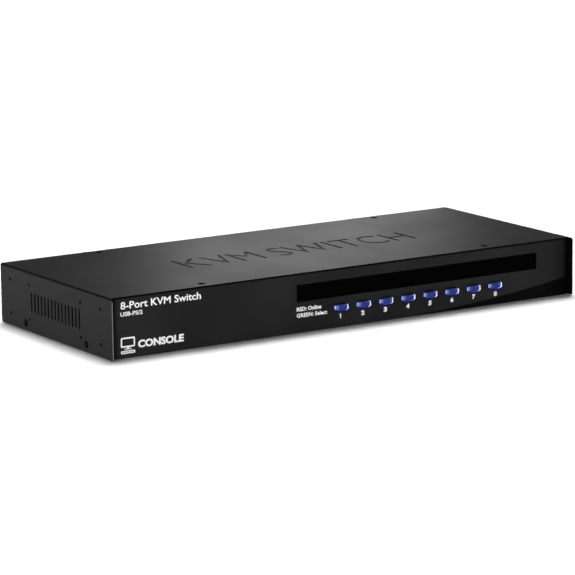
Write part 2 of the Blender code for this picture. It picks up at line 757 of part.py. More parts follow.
def button_mesh():
    """Cap, retaining flange and stem of one button, with the origin in the panel's face."""
    shape = bmesh.new()
    bmesh.ops.create_cube(shape, size=1)
    back = INSIDE_FRONT_Y + GAP - PANEL_FACE_Y
    size = (BUTTON_WIDTH, back + BUTTON_PROUD, BUTTON_HEIGHT)
    bmesh.ops.scale(shape, vec=size, verts=shape.verts)
    bmesh.ops.translate(shape, vec=(0, (back - BUTTON_PROUD) / 2, 0), verts=shape.verts)
    long_edges = [e for e in shape.edges if abs(e.verts[0].co.y - e.verts[1].co.y) > size[1] / 2]
    rounding = {"affect": "EDGES", "profile": 0.5}
    bmesh.ops.bevel(shape, geom=long_edges, offset=BUTTON_CORNER, segments=4, **rounding)
    rim = [e for e in shape.edges if all(v.co.y < -BUTTON_PROUD / 2 for v in e.verts)]
    bmesh.ops.bevel(shape, geom=rim, offset=BUTTON_RIM, segments=3, **rounding)
    return mesh_of("button", shape)


def make_buttons():
    inner = INSIDE_FRONT_Y + GAP - PANEL_FACE_Y
    stem_end = SWITCH_FRONT_Y + STEM_ENTRY - PANEL_FACE_Y
    overlap = SHEET / 2
    for port in range(PORTS):
        number = port + 1
        spot = Vector((port_x(port), PANEL_FACE_Y, BUTTON_Z))
        button = add_object(f"button_{number}", button_mesh(), spot, BUTTON_BLUE)
        flange_size = (
            BUTTON_WIDTH + 2 * BUTTON_FLANGE_EDGE[0],
            BUTTON_FLANGE,
            BUTTON_HEIGHT + 2 * BUTTON_FLANGE_EDGE[1],
        )
        flange_spot = spot + Vector((0, inner + BUTTON_FLANGE / 2, 0))
        flange = box(f"button_flange_{number}", flange_size, flange_spot)
        start = inner - overlap
        stem_spot = spot + Vector((0, (start + stem_end) / 2, 0))
        length = stem_end - start
        stem = cylinder(f"stem_{number}", STEM_RADIUS, length, stem_spot, ALONG_Y, segments=12)
        join(button, flange, stem)
        smooth(button)


def make_switches():
    """Each tactile switch has a bore that its button's stem goes into."""
    bore_radius = STEM_RADIUS + GAP
    for port in range(PORTS):
        x = port_x(port)
        body = box_between(
            f"switch_{port + 1}",
            (x - SWITCH_SIZE / 2, SWITCH_FRONT_Y, BUTTON_Z - SWITCH_SIZE / 2),
            (x + SWITCH_SIZE / 2, SWITCH_FRONT_Y + SWITCH_DEPTH, BUTTON_Z + SWITCH_SIZE / 2),
            CHIP_BLACK,
        )
        mouth = (x, SWITCH_FRONT_Y, BUTTON_Z)
        name = f"switch_bore_{port + 1}"
        cut(body, cylinder(name, bore_radius, 2 * SWITCH_BORE, mouth, ALONG_Y, segments=12))


def make_lights():
    dome_base = LIGHT_LENGTH - LIGHT_RADIUS
    profile = [(0, LIGHT_LENGTH)]
    for step in range(1, 4):
        angle = math.pi / 2 * (1 - step / 3)
        profile.append((LIGHT_RADIUS * math.cos(angle), dome_base + LIGHT_RADIUS * math.sin(angle)))
    profile += [
        (LIGHT_RADIUS, LIGHT_COLLAR),
        (LIGHT_COLLAR_RADIUS, LIGHT_COLLAR),
        (LIGHT_COLLAR_RADIUS, 0),
        (0, 0),
    ]
    for port in range(PORTS):
        spot = (port_x(port), FRONT_BOARD_Y - GAP, LIGHT_Z)
        smooth(turned(f"led_{port + 1}", profile, spot, UPRIGHT, LIGHT_CLEAR, 8))


def make_station_display():
    width, depth, height = DISPLAY_SIZE
    back = FRONT_BOARD_Y - GAP
    box_between(
        "station_display",
        (DISPLAY_X - width / 2, back - depth, LIGHT_Z - height / 2),
        (DISPLAY_X + width / 2, back, LIGHT_Z + height / 2),
        CHIP_BLACK,
    )


def make_front_board():
    board = box_between(
        "front_board",
        (FRONT_BOARD_LEFT, FRONT_BOARD_Y, FRONT_BOARD_LOW),
        (FRONT_BOARD_RIGHT, FRONT_BOARD_Y + BOARD_THICKNESS, FRONT_BOARD_HIGH),
        BOARD_GREEN,
    )
    for number, x in enumerate(FRONT_POST_XS, 1):
        spot = (x, FRONT_BOARD_Y, FRONT_POST_Z)
        cut(board, board_hole_cutter(f"front_board_hole_{number}", spot, ALONG_Y))
        pan_screw(
            f"front_board_screw_{number}",
            (x, FRONT_BOARD_Y + BOARD_THICKNESS + GAP, FRONT_POST_Z),
            ALONG_Y,
        )


def board_hole_cutter(name, spot, turn):
    return cylinder(name, POST_BORE_RADIUS, BOARD_HOLE_LENGTH, spot, turn, segments=12)


def pan_screw(name, seat, turn):
    """A pan-head screw: the seat is under its head, and the head points along the turned Z."""
    head, shank = PAN_SCREW_HEAD_RADIUS, SCREW_SHANK_RADIUS
    top = PAN_SCREW_HEAD_HEIGHT
    profile = [
        (0, top),
        (head - top / 3, top),
        (head, top * 2 / 3),
        (head, 0),
        (shank, 0),
        (shank, -PAN_SCREW_LENGTH),
        (0, -PAN_SCREW_LENGTH),
    ]
    smooth(turned(name, profile, seat, turn, ZINC, 10))


# Main board and rear sockets


def make_main_board():
    board = box_between(
        "main_board",
        (-MAIN_BOARD_HALF_WIDTH, MAIN_BOARD_FRONT_Y, MAIN_BOARD_Z),
        (MAIN_BOARD_HALF_WIDTH, MAIN_BOARD_REAR_Y, BOARD_TOP),
        BOARD_GREEN,
    )
    for number, (x, y) in enumerate(board_screw_spots(), 1):
        cut(board, board_hole_cutter(f"board_hole_{number}", (x, y, MAIN_BOARD_Z), ALONG_Z))
        pan_screw(f"board_screw_{number}", (x, y, BOARD_TOP + GAP), ALONG_Z)
    chip_spot = (0, 0, BOARD_TOP + GAP + CHIP_SIZE[2] / 2)
    box("processor_chip", CHIP_SIZE, chip_spot, CHIP_BLACK)


def make_fifteen_pin_sockets():
    """Body on the board, plate behind the rear wall, tapered shell and two hexagon posts outside."""
    shell_start = PLATE_BACK_Y + PLATE_THICKNESS / 2
    shell_end = REAR_Y + SOCKET_REACH - GAP
    for name, x in socket_xs().items():
        body = box_between(
            name,
            (x - PLATE_WIDTH / 2, SOCKET_FRONT_Y, SOCKET_BASE),
            (x + PLATE_WIDTH / 2, PLATE_BACK_Y + PLATE_THICKNESS, SOCKET_BASE + PLATE_HEIGHT),
            SOCKET_METAL,
        )
        length = shell_end - shell_start
        shell = rounded_bar(
            name + "_shell",
            (SHELL_WIDTH, length, SHELL_HEIGHT),
            (x, (shell_start + shell_end) / 2, SOCKET_Z),
            SHELL_CORNER,
            2,
        )
        for vertex in shell.data.vertices:
            vertex.co.x *= 1 + (SHELL_TAPER - 1) * (0.5 - vertex.co.z / SHELL_HEIGHT)
        join(body, shell)
        post_length = CHASSIS_REAR_Y + HEX_REACH - shell_start
        for side in (-1, 1):
            spot = (x + side * HEX_SPACING / 2, shell_start + post_length / 2, SOCKET_Z)
            post = cylinder(f"{name}_hex_{side}", HEX_RADIUS, post_length, spot, ALONG_Y, segments=6)
            join(body, post)


def rear_socket(name, x, size, made_of):
    width, height = size
    return box_between(
        name,
        (x - width / 2, REAR_SOCKET_FRONT_Y, SOCKET_BASE),
        (x + width / 2, REAR_SOCKET_FACE_Y, SOCKET_BASE + height),
        made_of,
    )


def make_ps2_stack():
    stack = rear_socket("console_ps2_stack", PS2_X, PS2_SIZE, SOCKET_PLASTIC)
    depth = 2 * PS2_GROOVE
    for number, share in enumerate(PS2_SHARES, 1):
        mouth_spot = Vector((PS2_X, REAR_SOCKET_FACE_Y, SOCKET_BASE + PS2_SIZE[1] * share))
        core_spot = mouth_spot - Vector((0, PS2_GROOVE, 0))
        name = f"ps2_mouth_{number}"
        cut(stack, cylinder(name, PS2_OUTER_RADIUS, depth, mouth_spot, ALONG_Y, segments=20))
        name = f"ps2_core_{number}"
        length = depth - 2 * GAP
        join(stack, cylinder(name, PS2_CORE_RADIUS, length, core_spot, ALONG_Y, segments=20))


def make_usb_stack():
    stack = rear_socket("console_usb_stack", USB_X, USB_SIZE, SOCKET_METAL)
    width, height = USB_MOUTH
    tongue_size = (USB_TONGUE[0], USB_MOUTH_DEPTH, USB_TONGUE[1])
    tongue_setback = Vector((0, USB_MOUTH_DEPTH / 2 + MOUTH_SETBACK, 0))
    for number, share in enumerate(USB_SHARES, 1):
        spot = Vector((USB_X, REAR_SOCKET_FACE_Y, SOCKET_BASE + USB_SIZE[1] * share))
        cut(stack, box(f"usb_mouth_{number}", (width, 2 * USB_MOUTH_DEPTH, height), spot))
        join(stack, box(f"usb_tongue_{number}", tongue_size, spot - tongue_setback))


def make_dc_inlet():
    inlet = rear_socket("dc_inlet", DC_X, DC_SIZE, SOCKET_PLASTIC)
    z = SOCKET_BASE + DC_SIZE[1] / 2
    face = (DC_X, REAR_SOCKET_FACE_Y, z)
    cut(inlet, cylinder("dc_bore", DC_BORE_RADIUS, 2 * DC_BORE_DEPTH, face, ALONG_Y))
    pin_spot = (DC_X, REAR_SOCKET_FACE_Y - DC_BORE_DEPTH / 2 - MOUTH_SETBACK, z)
    join(inlet, cylinder("dc_pin", DC_PIN_RADIUS, DC_BORE_DEPTH, pin_spot, ALONG_Y, segments=10))


def make_ribbon_cable():
    """A flat cable that leaves the front board level, bends down and plugs into the main board."""
    start_y = FRONT_BOARD_Y + BOARD_THICKNESS + GAP
    plug_back = start_y + RIBBON_PLUG_DEPTH
    plug_top = BOARD_TOP + GAP + RIBBON_PLUG_DEPTH
    radius = RIBBON_BEND_RADIUS
    outline = [(plug_back - RIBBON_ENTRY, RIBBON_HEADER_Z)]
    outline += arc(RIBBON_HEADER_Y - radius, RIBBON_HEADER_Z - radius, radius, 90, 0, 5)
    outline.append((RIBBON_HEADER_Y, plug_top - RIBBON_ENTRY))
    ribbon = open_surface("ribbon_cable", outline, (RIBBON_WIDTH, 0), RIBBON_GREY)
    ribbon.location.x = RIBBON_X
    sheet = ribbon.modifiers.new("sheet", "SOLIDIFY")
    sheet.thickness = RIBBON_THICKNESS
    sheet.offset = 0
    half = RIBBON_WIDTH / 2 + RIBBON_PLUG_EDGE
    thick = RIBBON_PLUG_HALF_THICKNESS
    front_plug = box_between(
        "front_plug",
        (RIBBON_X - half, start_y, RIBBON_HEADER_Z - thick),
        (RIBBON_X + half, plug_back, RIBBON_HEADER_Z + thick),
    )
    main_plug = box_between(
        "main_plug",
        (RIBBON_X - half, RIBBON_HEADER_Y - thick, BOARD_TOP + GAP),
        (RIBBON_X + half, RIBBON_HEADER_Y + thick, plug_top),
    )
    join(ribbon, front_plug, main_plug)


def main():
    low_holes = ear_hole_cutters("low", EAR_HOLE_LOW_Z)
    high_holes = ear_hole_cutters("high", EAR_HOLE_HIGH_Z)
    screw_holes = [screw_hole_cutter(name + "_hole", *place) for name, *place in screw_spots()]
    make_top_cover(low_holes + high_holes, screw_holes)
    make_chassis(low_holes, screw_holes)
    make_case_screws()
    make_front_panel()
    make_display_window()
    make_buttons()
    make_switches()
    make_lights()
    make_station_display()
    make_front_board()
    make_main_board()
    make_fifteen_pin_sockets()
    make_ps2_stack()
    make_usb_stack()
    make_dc_inlet()
    make_ribbon_cable()


main()
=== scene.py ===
import functools
import json
import math
from typing import NamedTuple

import bmesh
import bpy
from mathutils import Matrix, Vector

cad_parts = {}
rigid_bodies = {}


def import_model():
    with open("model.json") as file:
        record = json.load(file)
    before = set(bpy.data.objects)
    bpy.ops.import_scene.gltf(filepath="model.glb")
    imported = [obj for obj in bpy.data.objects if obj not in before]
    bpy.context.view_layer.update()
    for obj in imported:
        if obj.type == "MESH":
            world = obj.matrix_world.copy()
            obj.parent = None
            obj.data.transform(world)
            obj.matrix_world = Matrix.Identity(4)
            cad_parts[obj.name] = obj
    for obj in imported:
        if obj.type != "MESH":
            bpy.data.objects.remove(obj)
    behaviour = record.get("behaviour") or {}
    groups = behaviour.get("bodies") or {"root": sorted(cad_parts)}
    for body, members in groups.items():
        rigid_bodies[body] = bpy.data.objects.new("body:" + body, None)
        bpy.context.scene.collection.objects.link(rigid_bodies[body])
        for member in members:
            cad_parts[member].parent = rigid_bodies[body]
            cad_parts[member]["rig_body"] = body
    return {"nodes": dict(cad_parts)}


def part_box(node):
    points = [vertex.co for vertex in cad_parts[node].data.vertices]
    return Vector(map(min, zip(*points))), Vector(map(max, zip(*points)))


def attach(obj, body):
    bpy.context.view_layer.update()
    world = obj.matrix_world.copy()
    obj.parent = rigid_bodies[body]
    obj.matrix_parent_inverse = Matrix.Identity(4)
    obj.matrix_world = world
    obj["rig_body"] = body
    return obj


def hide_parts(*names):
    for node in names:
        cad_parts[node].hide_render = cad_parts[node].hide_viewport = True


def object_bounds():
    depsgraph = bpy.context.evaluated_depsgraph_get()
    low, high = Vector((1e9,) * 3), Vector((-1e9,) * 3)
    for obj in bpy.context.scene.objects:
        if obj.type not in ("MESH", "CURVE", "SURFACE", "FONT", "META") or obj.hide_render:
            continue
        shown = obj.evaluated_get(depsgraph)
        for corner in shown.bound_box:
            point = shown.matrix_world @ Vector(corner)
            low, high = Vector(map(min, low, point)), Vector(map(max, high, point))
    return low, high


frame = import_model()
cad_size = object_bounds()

MM = 0.001
NODES = frame["nodes"]
PORTS = 8

# Camera
CAMERA_PLACE = Vector((-1.28026, -2.01698, 0.49508))
CAMERA_AIM = Vector((0.524881, 0.828080, -0.196933))
CAMERA_UP = Vector((0.115381, 0.160011, 0.980349))
CAMERA_LENS = 205.303
CAMERA_SENSOR = 36
CAMERA_REACH = 50

# Buttons
BUTTON_SIZE = (12.6 * MM, 5.6 * MM)
BUTTON_CORNER = 2.5 * MM
BUTTON_PROUD = 2.6 * MM
BUTTON_WALL = 0.3 * MM
BUTTON_FULLNESS_ACROSS = 2.3
BUTTON_FULLNESS_UP = 6
BUTTON_RINGS = 16
BUTTON_SIDE_PARTS = (10, 3)
FLANGE_SIZE = (14.6 * MM, 8.0 * MM)
FLANGE_CORNER = 1.0 * MM
FLANGE_NEAR = 2.8 * MM
FLANGE_FAR = 3.8 * MM
STEM_RADIUS = 1.7 * MM
STEM_END = 6.7 * MM
OUTLINE_STEPS = 6

# Screws
HEAD_RADIUS = 2.5 * MM
HEAD_EDGE = 0.15 * MM
SHANK_RADIUS = 1.5 * MM
SCREW_LENGTH = 6.0 * MM
RECESS_LENGTH = 2.9 * MM
RECESS_WIDTH = 0.62 * MM
RECESS_DEPTH = 1.1 * MM
PAN_RADIUS = 2.6 * MM
PAN_HEIGHT = 1.8 * MM
PAN_EDGE = 0.35
PAN_STEPS = 6

# Fifteen-pin sockets
PLATE = (30.8 * MM, 12.5 * MM)
PLATE_CORNER = 1.2 * MM
PLATE_THICKNESS = 1.0 * MM
BODY_DEPTH = 11 * MM
SHELL = (16.9 * MM, 8.3 * MM)
SHELL_TAPER = 0.9
SHELL_CORNER = 2.0 * MM
SHELL_WALL = 0.45 * MM
SHELL_REACH = 7.3 * MM
HEX_SPACING = 25 * MM
HEX_RADIUS = 2.9 * MM
HEX_REACH = 6.1 * MM
HEX_BORE_RADIUS = 1.35 * MM
PIN_PITCH = 2.29 * MM
PIN_ROW = 1.98 * MM
PIN_HOLE_RADIUS = 0.55 * MM
PIN_CONTACT_RADIUS = 0.42 * MM

# Other rear sockets
USB_MOUTH = (12.5 * MM, 5.1 * MM)
USB_MOUTH_DEPTH = 9 * MM
USB_TONGUE = (10.6 * MM, 1.8 * MM)
USB_CONTACT_PITCH = 2.3 * MM
USB_SHARES = (0.27, 0.73)
PS2_SHARES = (0.25, 0.75)
PS2_MOUTH_RADIUS = 4.5 * MM
PS2_MOUTH_DEPTH = 3 * MM
PS2_CORE_RADIUS = 3.8 * MM
PS2_LINING_RADII = (4.42 * MM, 4.05 * MM)
PS2_PINS = ((-1, 0.4), (1, 0.4), (-0.65, -1.15), (0.65, -1.15), (-0.45, 1.2), (0.45, 1.2))
PS2_PIN_SPREAD = (2.3 * MM, 2.0 * MM)
PS2_PIN_RADIUS = 0.42 * MM
DC_BORE_RADIUS = 3.2 * MM
DC_BORE_DEPTH = 9 * MM
DC_PIN_RADIUS = 1.0 * MM

# Printing
INK_SUNK = 0.01 * MM
INK_PROUD = 0.03 * MM


class Line(NamedTuple):
    """A printed line: its words, how much its strokes are thickened, and the box that it fills."""

    words: str
    weight: float
    left: float
    foot: float
    width: float
    height: float


TITLE = Line("8-Port KVM Switch", 0.014, -189.8 * MM, 34.9 * MM, 64.8 * MM, 5.3 * MM)
SUBTITLE = Line("USB-PS/2", 0.018, -190.0 * MM, 30.0 * MM, 17.7 * MM, 3.0 * MM)
LEGEND = (
    Line("RED: Online", 0.03, -45.4 * MM, 16.0 * MM, 21.0 * MM, 3.0 * MM),
    Line("GREEN: Select", 0.03, -45.4 * MM, 11.4 * MM, 26.0 * MM, 3.0 * MM),
)
SIGN_WORD = Line("CONSOLE", 0.045, -176.5 * MM, 6.3 * MM, 37.0 * MM, 5.6 * MM)
SIGN_PLACE = (-184.5 * MM, 9.2 * MM)

DIGIT_PITCH = 19.75 * MM
DIGITS_SHIFT = -0.2 * MM
DIGIT_FOOT = 6.7 * MM
DIGIT_HEIGHT = 3.6 * MM
DIGIT_WIDTH = 2.9 * MM
DIGIT_WEIGHT = 0.06
ONE_WIDTH = 1.6 * MM
ONE_OUTLINE = ((0.75, 0), (1.6, 0), (1.6, 3.6), (1.0, 3.6), (0, 2.9), (0.25, 2.3), (0.75, 2.6))

REAR_WEIGHT = 0.02
REAR_NUMBER_HEIGHT = 3.4 * MM
REAR_WORD_HEIGHT = 2.2 * MM
REAR_LABEL_GAP = 3.0 * MM
REAR_WORDS = {
    "daisy_chain_socket": "CHAIN",
    "console_video_socket": "MONITOR",
    "console_usb_stack": "USB",
    "dc_inlet": "DC 9 V",
}

# Stage
FLOOR_REACH = 14
FLOOR_PARTS = 24
FLOOR_GAP = 0.1 * MM

# World brightness, for diffuse rays, and for glossy rays in front and behind
WORLD_FILL = 0.12
WORLD_FRONT = 0.03
WORLD_BACK = 0.02

SUN_SPREAD = 26
SUN_STRENGTH = 3.75
SUN_AIM = Vector((-0.20, -0.29, -0.94))
CENTRE = (0, 0, 0.02)


class SoftBox(NamedTuple):
    """A light as wide and high as its size, that faces its aim, and the rays that see it."""

    name: str
    place: tuple
    aim: tuple
    size: tuple
    radiance: float
    diffuse: bool = True
    glossy: bool = True


SOFT_BOXES = (
    SoftBox("left_box", (-0.95, -0.62, 0.10), CENTRE, (0.9, 0.3), 6.6, glossy=False),
    SoftBox("back_left_box", (-0.75, 1.0, 0.2), CENTRE, (0.7, 0.8), 0.65),
    SoftBox("back_box", (0.59, 0.9, 0.32), (0.05, -0.05, 0.04), (0.30, 0.30), 1.3),
    SoftBox("left_card", (-1.0, -0.46, 0.05), CENTRE, (0.8, 1.0), 8.5, diffuse=False),
    SoftBox("front_card", (-0.35, -1.10, 0.05), CENTRE, (0.9, 0.9), 2.2, diffuse=False),
    SoftBox(
        "right_card", (1.08, -0.28, -0.15), (0.1, -0.08, 0.02), (0.35, 1.7), 9.0, diffuse=False
    ),
    SoftBox("rear_fill", (0.35, 1.2, 0.08), CENTRE, (1.6, 0.16), 6.0, glossy=False),
    SoftBox("front_fill", (0.3, -1.3, 0.12), CENTRE, (1.6, 0.24), 3.4, glossy=False),
    SoftBox("rear_card", (0.8, 1.0, -0.35), CENTRE, (1.5, 0.5), 2.0, diffuse=False),
)

# Places taken from the frame
PANEL_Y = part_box("front_panel")[0].y
PANEL_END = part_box("front_panel")[1].x
TOP_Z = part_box("top_cover")[1].z

# Near-black, dull paint, for painted shade and for the darker paint below the panel's step: colour
# and gloss go over to these
DARK_PAINT_AND_SHADE = (0.002, 0.002, 0.002)
DULL = 0.06
GLOSS = 0.5
PANEL_GLOSS = 0.38
# Painted shade at the panel's ends: where it starts and where it is full
PANEL_END_SHADE_FADE = 4.8 * MM
PANEL_END_SHADE_FULL = 1.0 * MM
STEP_DEPTH = 0.3 * MM

# Ribbon cable: a wave texture of scale 1 turns through this many radians in a metre
WIRE_PITCH = 1.27 * MM
WAVE_RADIANS = 20


class Finish:
    """A procedural material, put together node by node on one Principled shader."""

    def __init__(self, name, colour, roughness, **settings):
        self.material = bpy.data.materials.new(name)
        self.material.use_nodes = True
        self.tree = self.material.node_tree
        self.shader = self.tree.nodes["Principled BSDF"]
        self.shader.inputs["Base Color"].default_value = (*colour, 1)
        self.shader.inputs["Roughness"].default_value = roughness
        for label, value in settings.items():
            self.shader.inputs[label.replace("_", " ")].default_value = value
        self.place = self.add("TexCoord").outputs["Object"]

    def add(self, kind, **sockets):
        made = self.tree.nodes.new("ShaderNode" + kind)
        for label, value in sockets.items():
            self.feed(made.inputs[label.replace("_", " ")], value)
        return made

    def feed(self, socket, value):
        if isinstance(value, bpy.types.NodeSocket):
            self.tree.links.new(value, socket)
        else:
            socket.default_value = value

    def noise(self, grain, detail=3.0, stretch=None):
        """A noise whose grain is this many metres; stretch lengthens it along each axis."""
        vector = self.place
        if stretch:
            squeeze = [1 / share for share in stretch]
            vector = self.add("Mapping", Vector=self.place, Scale=squeeze).outputs["Vector"]
        made = self.add("TexNoise", Vector=vector, Scale=1 / grain, Detail=detail)
        return made.outputs["Fac"]

    def between(self, share, low, high, start=0.3, end=0.7):
        """The share, spread so that start gives low and end gives high."""
        spread = {"From_Min": start, "From_Max": end, "To_Min": low, "To_Max": high}
        return self.add("MapRange", Value=share, **spread).outputs["Result"]

    def tint(self, share, first, second):
        """The base colour goes from the first to the second as the share goes from 0 to 1."""
        made = self.tree.nodes.new("ShaderNodeMix")
        made.data_type = "RGBA"
        factor, first_socket, second_socket = (made.inputs[i] for i in (0, 6, 7))
        self.feed(factor, share)
        self.feed(first_socket, first if isinstance(first, bpy.types.NodeSocket) else (*first, 1))
        self.feed(second_socket, (*second, 1))
        self.feed(self.shader.inputs["Base Color"], made.outputs[2])
        return made.outputs[2]

    def math(self, operation, *values):
        made = self.add("Math")
        made.operation = operation
        for socket, value in zip(made.inputs, values):
            self.feed(socket, value)
        return made.outputs[0]

    def along(self, axis):
        """Where the point is along the axis, in metres."""
        return self.add("SeparateXYZ", Vector=self.place).outputs[axis]

    def facing(self, axis):
        """How squarely the surface faces along the axis, from -1 to 1."""
        normal = self.add("NewGeometry").outputs["Normal"]
        return self.add("SeparateXYZ", Vector=normal).outputs[axis]

    def slope(self):
        """How level the surface is, from 0 to 1."""
        return self.math("ABSOLUTE", self.facing("Z"))

    def darken(self, share, base, gloss):
        """Near-black, dull paint takes over from the base and the gloss as the share goes from 0 to
        1: painted shade, or darker paint.
        """
        self.tint(share, base, DARK_PAINT_AND_SHADE)
        level = self.between(share, gloss, DULL, 0, 1)
        self.feed(self.shader.inputs["Specular IOR Level"], level)

    def rough(self, share, low, high):
        self.feed(self.shader.inputs["Roughness"], self.between(share, low, high))
        return self

    def bump(self, height, depth, strength=1.0):
        made = self.add("Bump", Height=height, Distance=depth, Strength=strength)
        self.feed(self.shader.inputs["Normal"], made.outputs["Normal"])
        return self


def powder_coat(name, dark, light, roughness, grain):
    """Fine orange peel, slow changes of sheen and a few pale specks of dust.

    Painted shade darkens and dulls the bends, the front edges, the inner faces and the pressed
    lettering's grooves.
    """
    finish = Finish(name, dark, roughness[0])
    drift = finish.noise(60 * MM, 2)
    specks = finish.between(finish.noise(1.1 * MM, 1), 0, 0.5, 0.74, 0.8)
    base = finish.tint(finish.between(drift, 0, 1), dark, light)
    base = finish.tint(specks, base, [value * 2.2 for value in light])
    slope = finish.slope()
    height = finish.along("Z")
    outward = finish.math("MULTIPLY", finish.facing("X"), finish.along("X"))
    off_upright = finish.between(slope, 0, 1, 0.12, 0.3)
    off_level = finish.between(slope, 1, 0, 0.86, 0.99)
    under_top = finish.between(height, 1, 0, TOP_Z - 0.2 * MM, TOP_Z - 0.1 * MM)
    over_floor = finish.between(height, 0, 1, TOP_Z - 0.6 * MM, TOP_Z - 0.5 * MM)
    bends = finish.math("MULTIPLY", off_upright, off_level)
    front_edges = finish.between(finish.facing("Y"), 1, 0, -0.95, -0.5)
    inner_faces = finish.between(outward, 1, 0, -0.15, -0.05)
    lettering = finish.math("MULTIPLY", under_top, over_floor)
    # Painted shade and painted dark reflections: bends, front edges, inner faces and lettering
    # grooves go near-black and dull
    thin = functools.reduce(
        functools.partial(finish.math, "MAXIMUM"), (bends, front_edges, inner_faces, lettering)
    )
    finish.darken(thin, base, GLOSS)
    peel = finish.noise(grain, 2)
    finish.rough(drift, *roughness)
    return finish.bump(peel, grain * 0.08, 0.5)


def moulded(name, colour, roughness, grain=0.25 * MM, **settings):
    """Moulded plastic: even colour with a faint cloud in it, and a fine spark-eroded grain."""
    finish = Finish(name, colour, roughness, **settings)
    cloud = finish.noise(8 * MM, 3)
    paler = [value * 1.25 + 0.002 for value in colour]
    finish.tint(finish.between(cloud, 0, 1), colour, paler)
    finish.rough(cloud, roughness * 0.85, roughness * 1.15)
    return finish.bump(finish.noise(grain, 2), grain * 0.06, 0.4)


def plated(name, colour, roughness, stretch=(1, 1, 1)):
    """Plated metal: faint rolling lines and a cloud of wear."""
    finish = Finish(name, colour, roughness, Metallic=1.0)
    lines = finish.noise(0.6 * MM, 3, stretch)
    cloud = finish.noise(5 * MM, 4)
    duller = [value * 0.72 for value in colour]
    finish.tint(finish.between(cloud, 0, 1), colour, duller)
    finish.rough(lines, roughness * 0.7, roughness * 1.4)
    return finish.bump(lines, 0.01 * MM, 0.4)


def panel_finish(step_y):
    """Satin black paint, with painted shade at both ends, and darker, duller paint on the set-back
    face below the curved step.
    """
    finish = Finish("panel_black", (0.0105, 0.0105, 0.0107), 0.42)
    drift = finish.noise(45 * MM, 2)
    dark, light = (0.0095, 0.0095, 0.0097), (0.0118, 0.0118, 0.0120)
    base = finish.tint(finish.between(drift, 0, 1), dark, light)
    below = finish.between(finish.along("Y"), 0, 1, step_y - 0.02 * MM, step_y + 0.02 * MM)
    across = finish.math("ABSOLUTE", finish.along("X"))
    # Painted shade: the panel darkens towards both ends, next to the side walls
    end = finish.between(across, 0, 1, PANEL_END - PANEL_END_SHADE_FADE, PANEL_END - PANEL_END_SHADE_FULL)
    finish.darken(finish.math("MAXIMUM", end, below), base, PANEL_GLOSS)
    finish.rough(drift, 0.38, 0.46)
    return finish.bump(finish.noise(0.35 * MM, 2), 0.02 * MM, 0.35)


def window_finish():
    """Smoked acrylic, almost black, with hairline wiping marks."""
    finish = Finish("window_smoke", (0.0009, 0.0009, 0.0010), 0.07, Specular_IOR_Level=0.12)
    marks = finish.noise(0.5 * MM, 4, (30, 1, 1))
    finish.tint(finish.between(marks, 0, 1), (0.0007, 0.0007, 0.0008), (0.0012, 0.0012, 0.0013))
    finish.rough(marks, 0.05, 0.10)
    return finish.bump(finish.noise(9 * MM, 1), 0.01 * MM, 0.2)


def button_finish():
    """Clear-coated deep blue plastic, a little cloudy inside, with painted shade where it lies
    level, on its top and bottom rims.
    """
    finish = Finish(
        "button_blue",
        (0.012, 0.028, 0.235),
        0.36,
        Coat_Weight=1.0,
        Coat_Roughness=0.12,
        Specular_IOR_Level=1.0,
        Specular_Tint=(0.55, 0.70, 1.0, 1),
    )
    cloud = finish.noise(3 * MM, 2)
    base = finish.tint(finish.between(cloud, 0, 1), (0.006, 0.022, 0.230), (0.010, 0.034, 0.310))
    # Painted shade: the top and bottom rims are darkened towards navy
    finish.tint(finish.between(finish.slope(), 0, 1, 0.6, 0.9), base, (0.002, 0.004, 0.030))
    finish.rough(cloud, 0.30, 0.42)
    return finish.bump(finish.noise(1.2 * MM, 1), 0.006 * MM, 0.3)


def ink_finish(name, colour):
    """Screen-printing ink, slightly uneven in thickness."""
    finish = Finish(name, colour, 0.55)
    thin = finish.noise(0.5 * MM, 3)
    finish.tint(finish.between(thin, 0, 1), [value * 0.9 for value in colour], colour)
    finish.rough(thin, 0.45, 0.65)
    return finish.bump(thin, 0.01 * MM, 0.3)


def board_finish():
    """Solder mask over copper: broad pours and fine tracks that show a paler green."""
    finish = Finish("board_green", (0.01, 0.085, 0.035), 0.35)
    sizes = {"Brick_Width": 6 * MM, "Row_Height": 0.9 * MM, "Mortar_Size": 0.16 * MM}
    tracks = finish.add("TexBrick", Vector=finish.place, Scale=1.0, **sizes)
    pours = finish.between(finish.noise(14 * MM, 1), 0, 1, 0.48, 0.52)
    base = finish.tint(pours, (0.008, 0.070, 0.028), (0.014, 0.115, 0.046))
    finish.tint(tracks.outputs["Fac"], base, (0.020, 0.150, 0.060))
    finish.rough(pours, 0.3, 0.4)
    return finish.bump(tracks.outputs["Fac"], 0.03 * MM, 0.5)


def ribbon_finish():
    """Grey flat cable: one ridge for each of its wires."""
    finish = Finish("ribbon_grey", (0.32, 0.33, 0.35), 0.5)
    scale = 2 * math.pi / (WAVE_RADIANS * WIRE_PITCH)
    wires = finish.add("TexWave", Vector=finish.place, Scale=scale, Distortion=0.0)
    wires.bands_direction = "X"
    finish.tint(finish.between(wires.outputs["Fac"], 0, 1), (0.24, 0.25, 0.27), (0.36, 0.37, 0.39))
    finish.rough(finish.noise(4 * MM), 0.42, 0.58)
    return finish.bump(wires.outputs["Fac"], 0.15 * MM, 0.6)


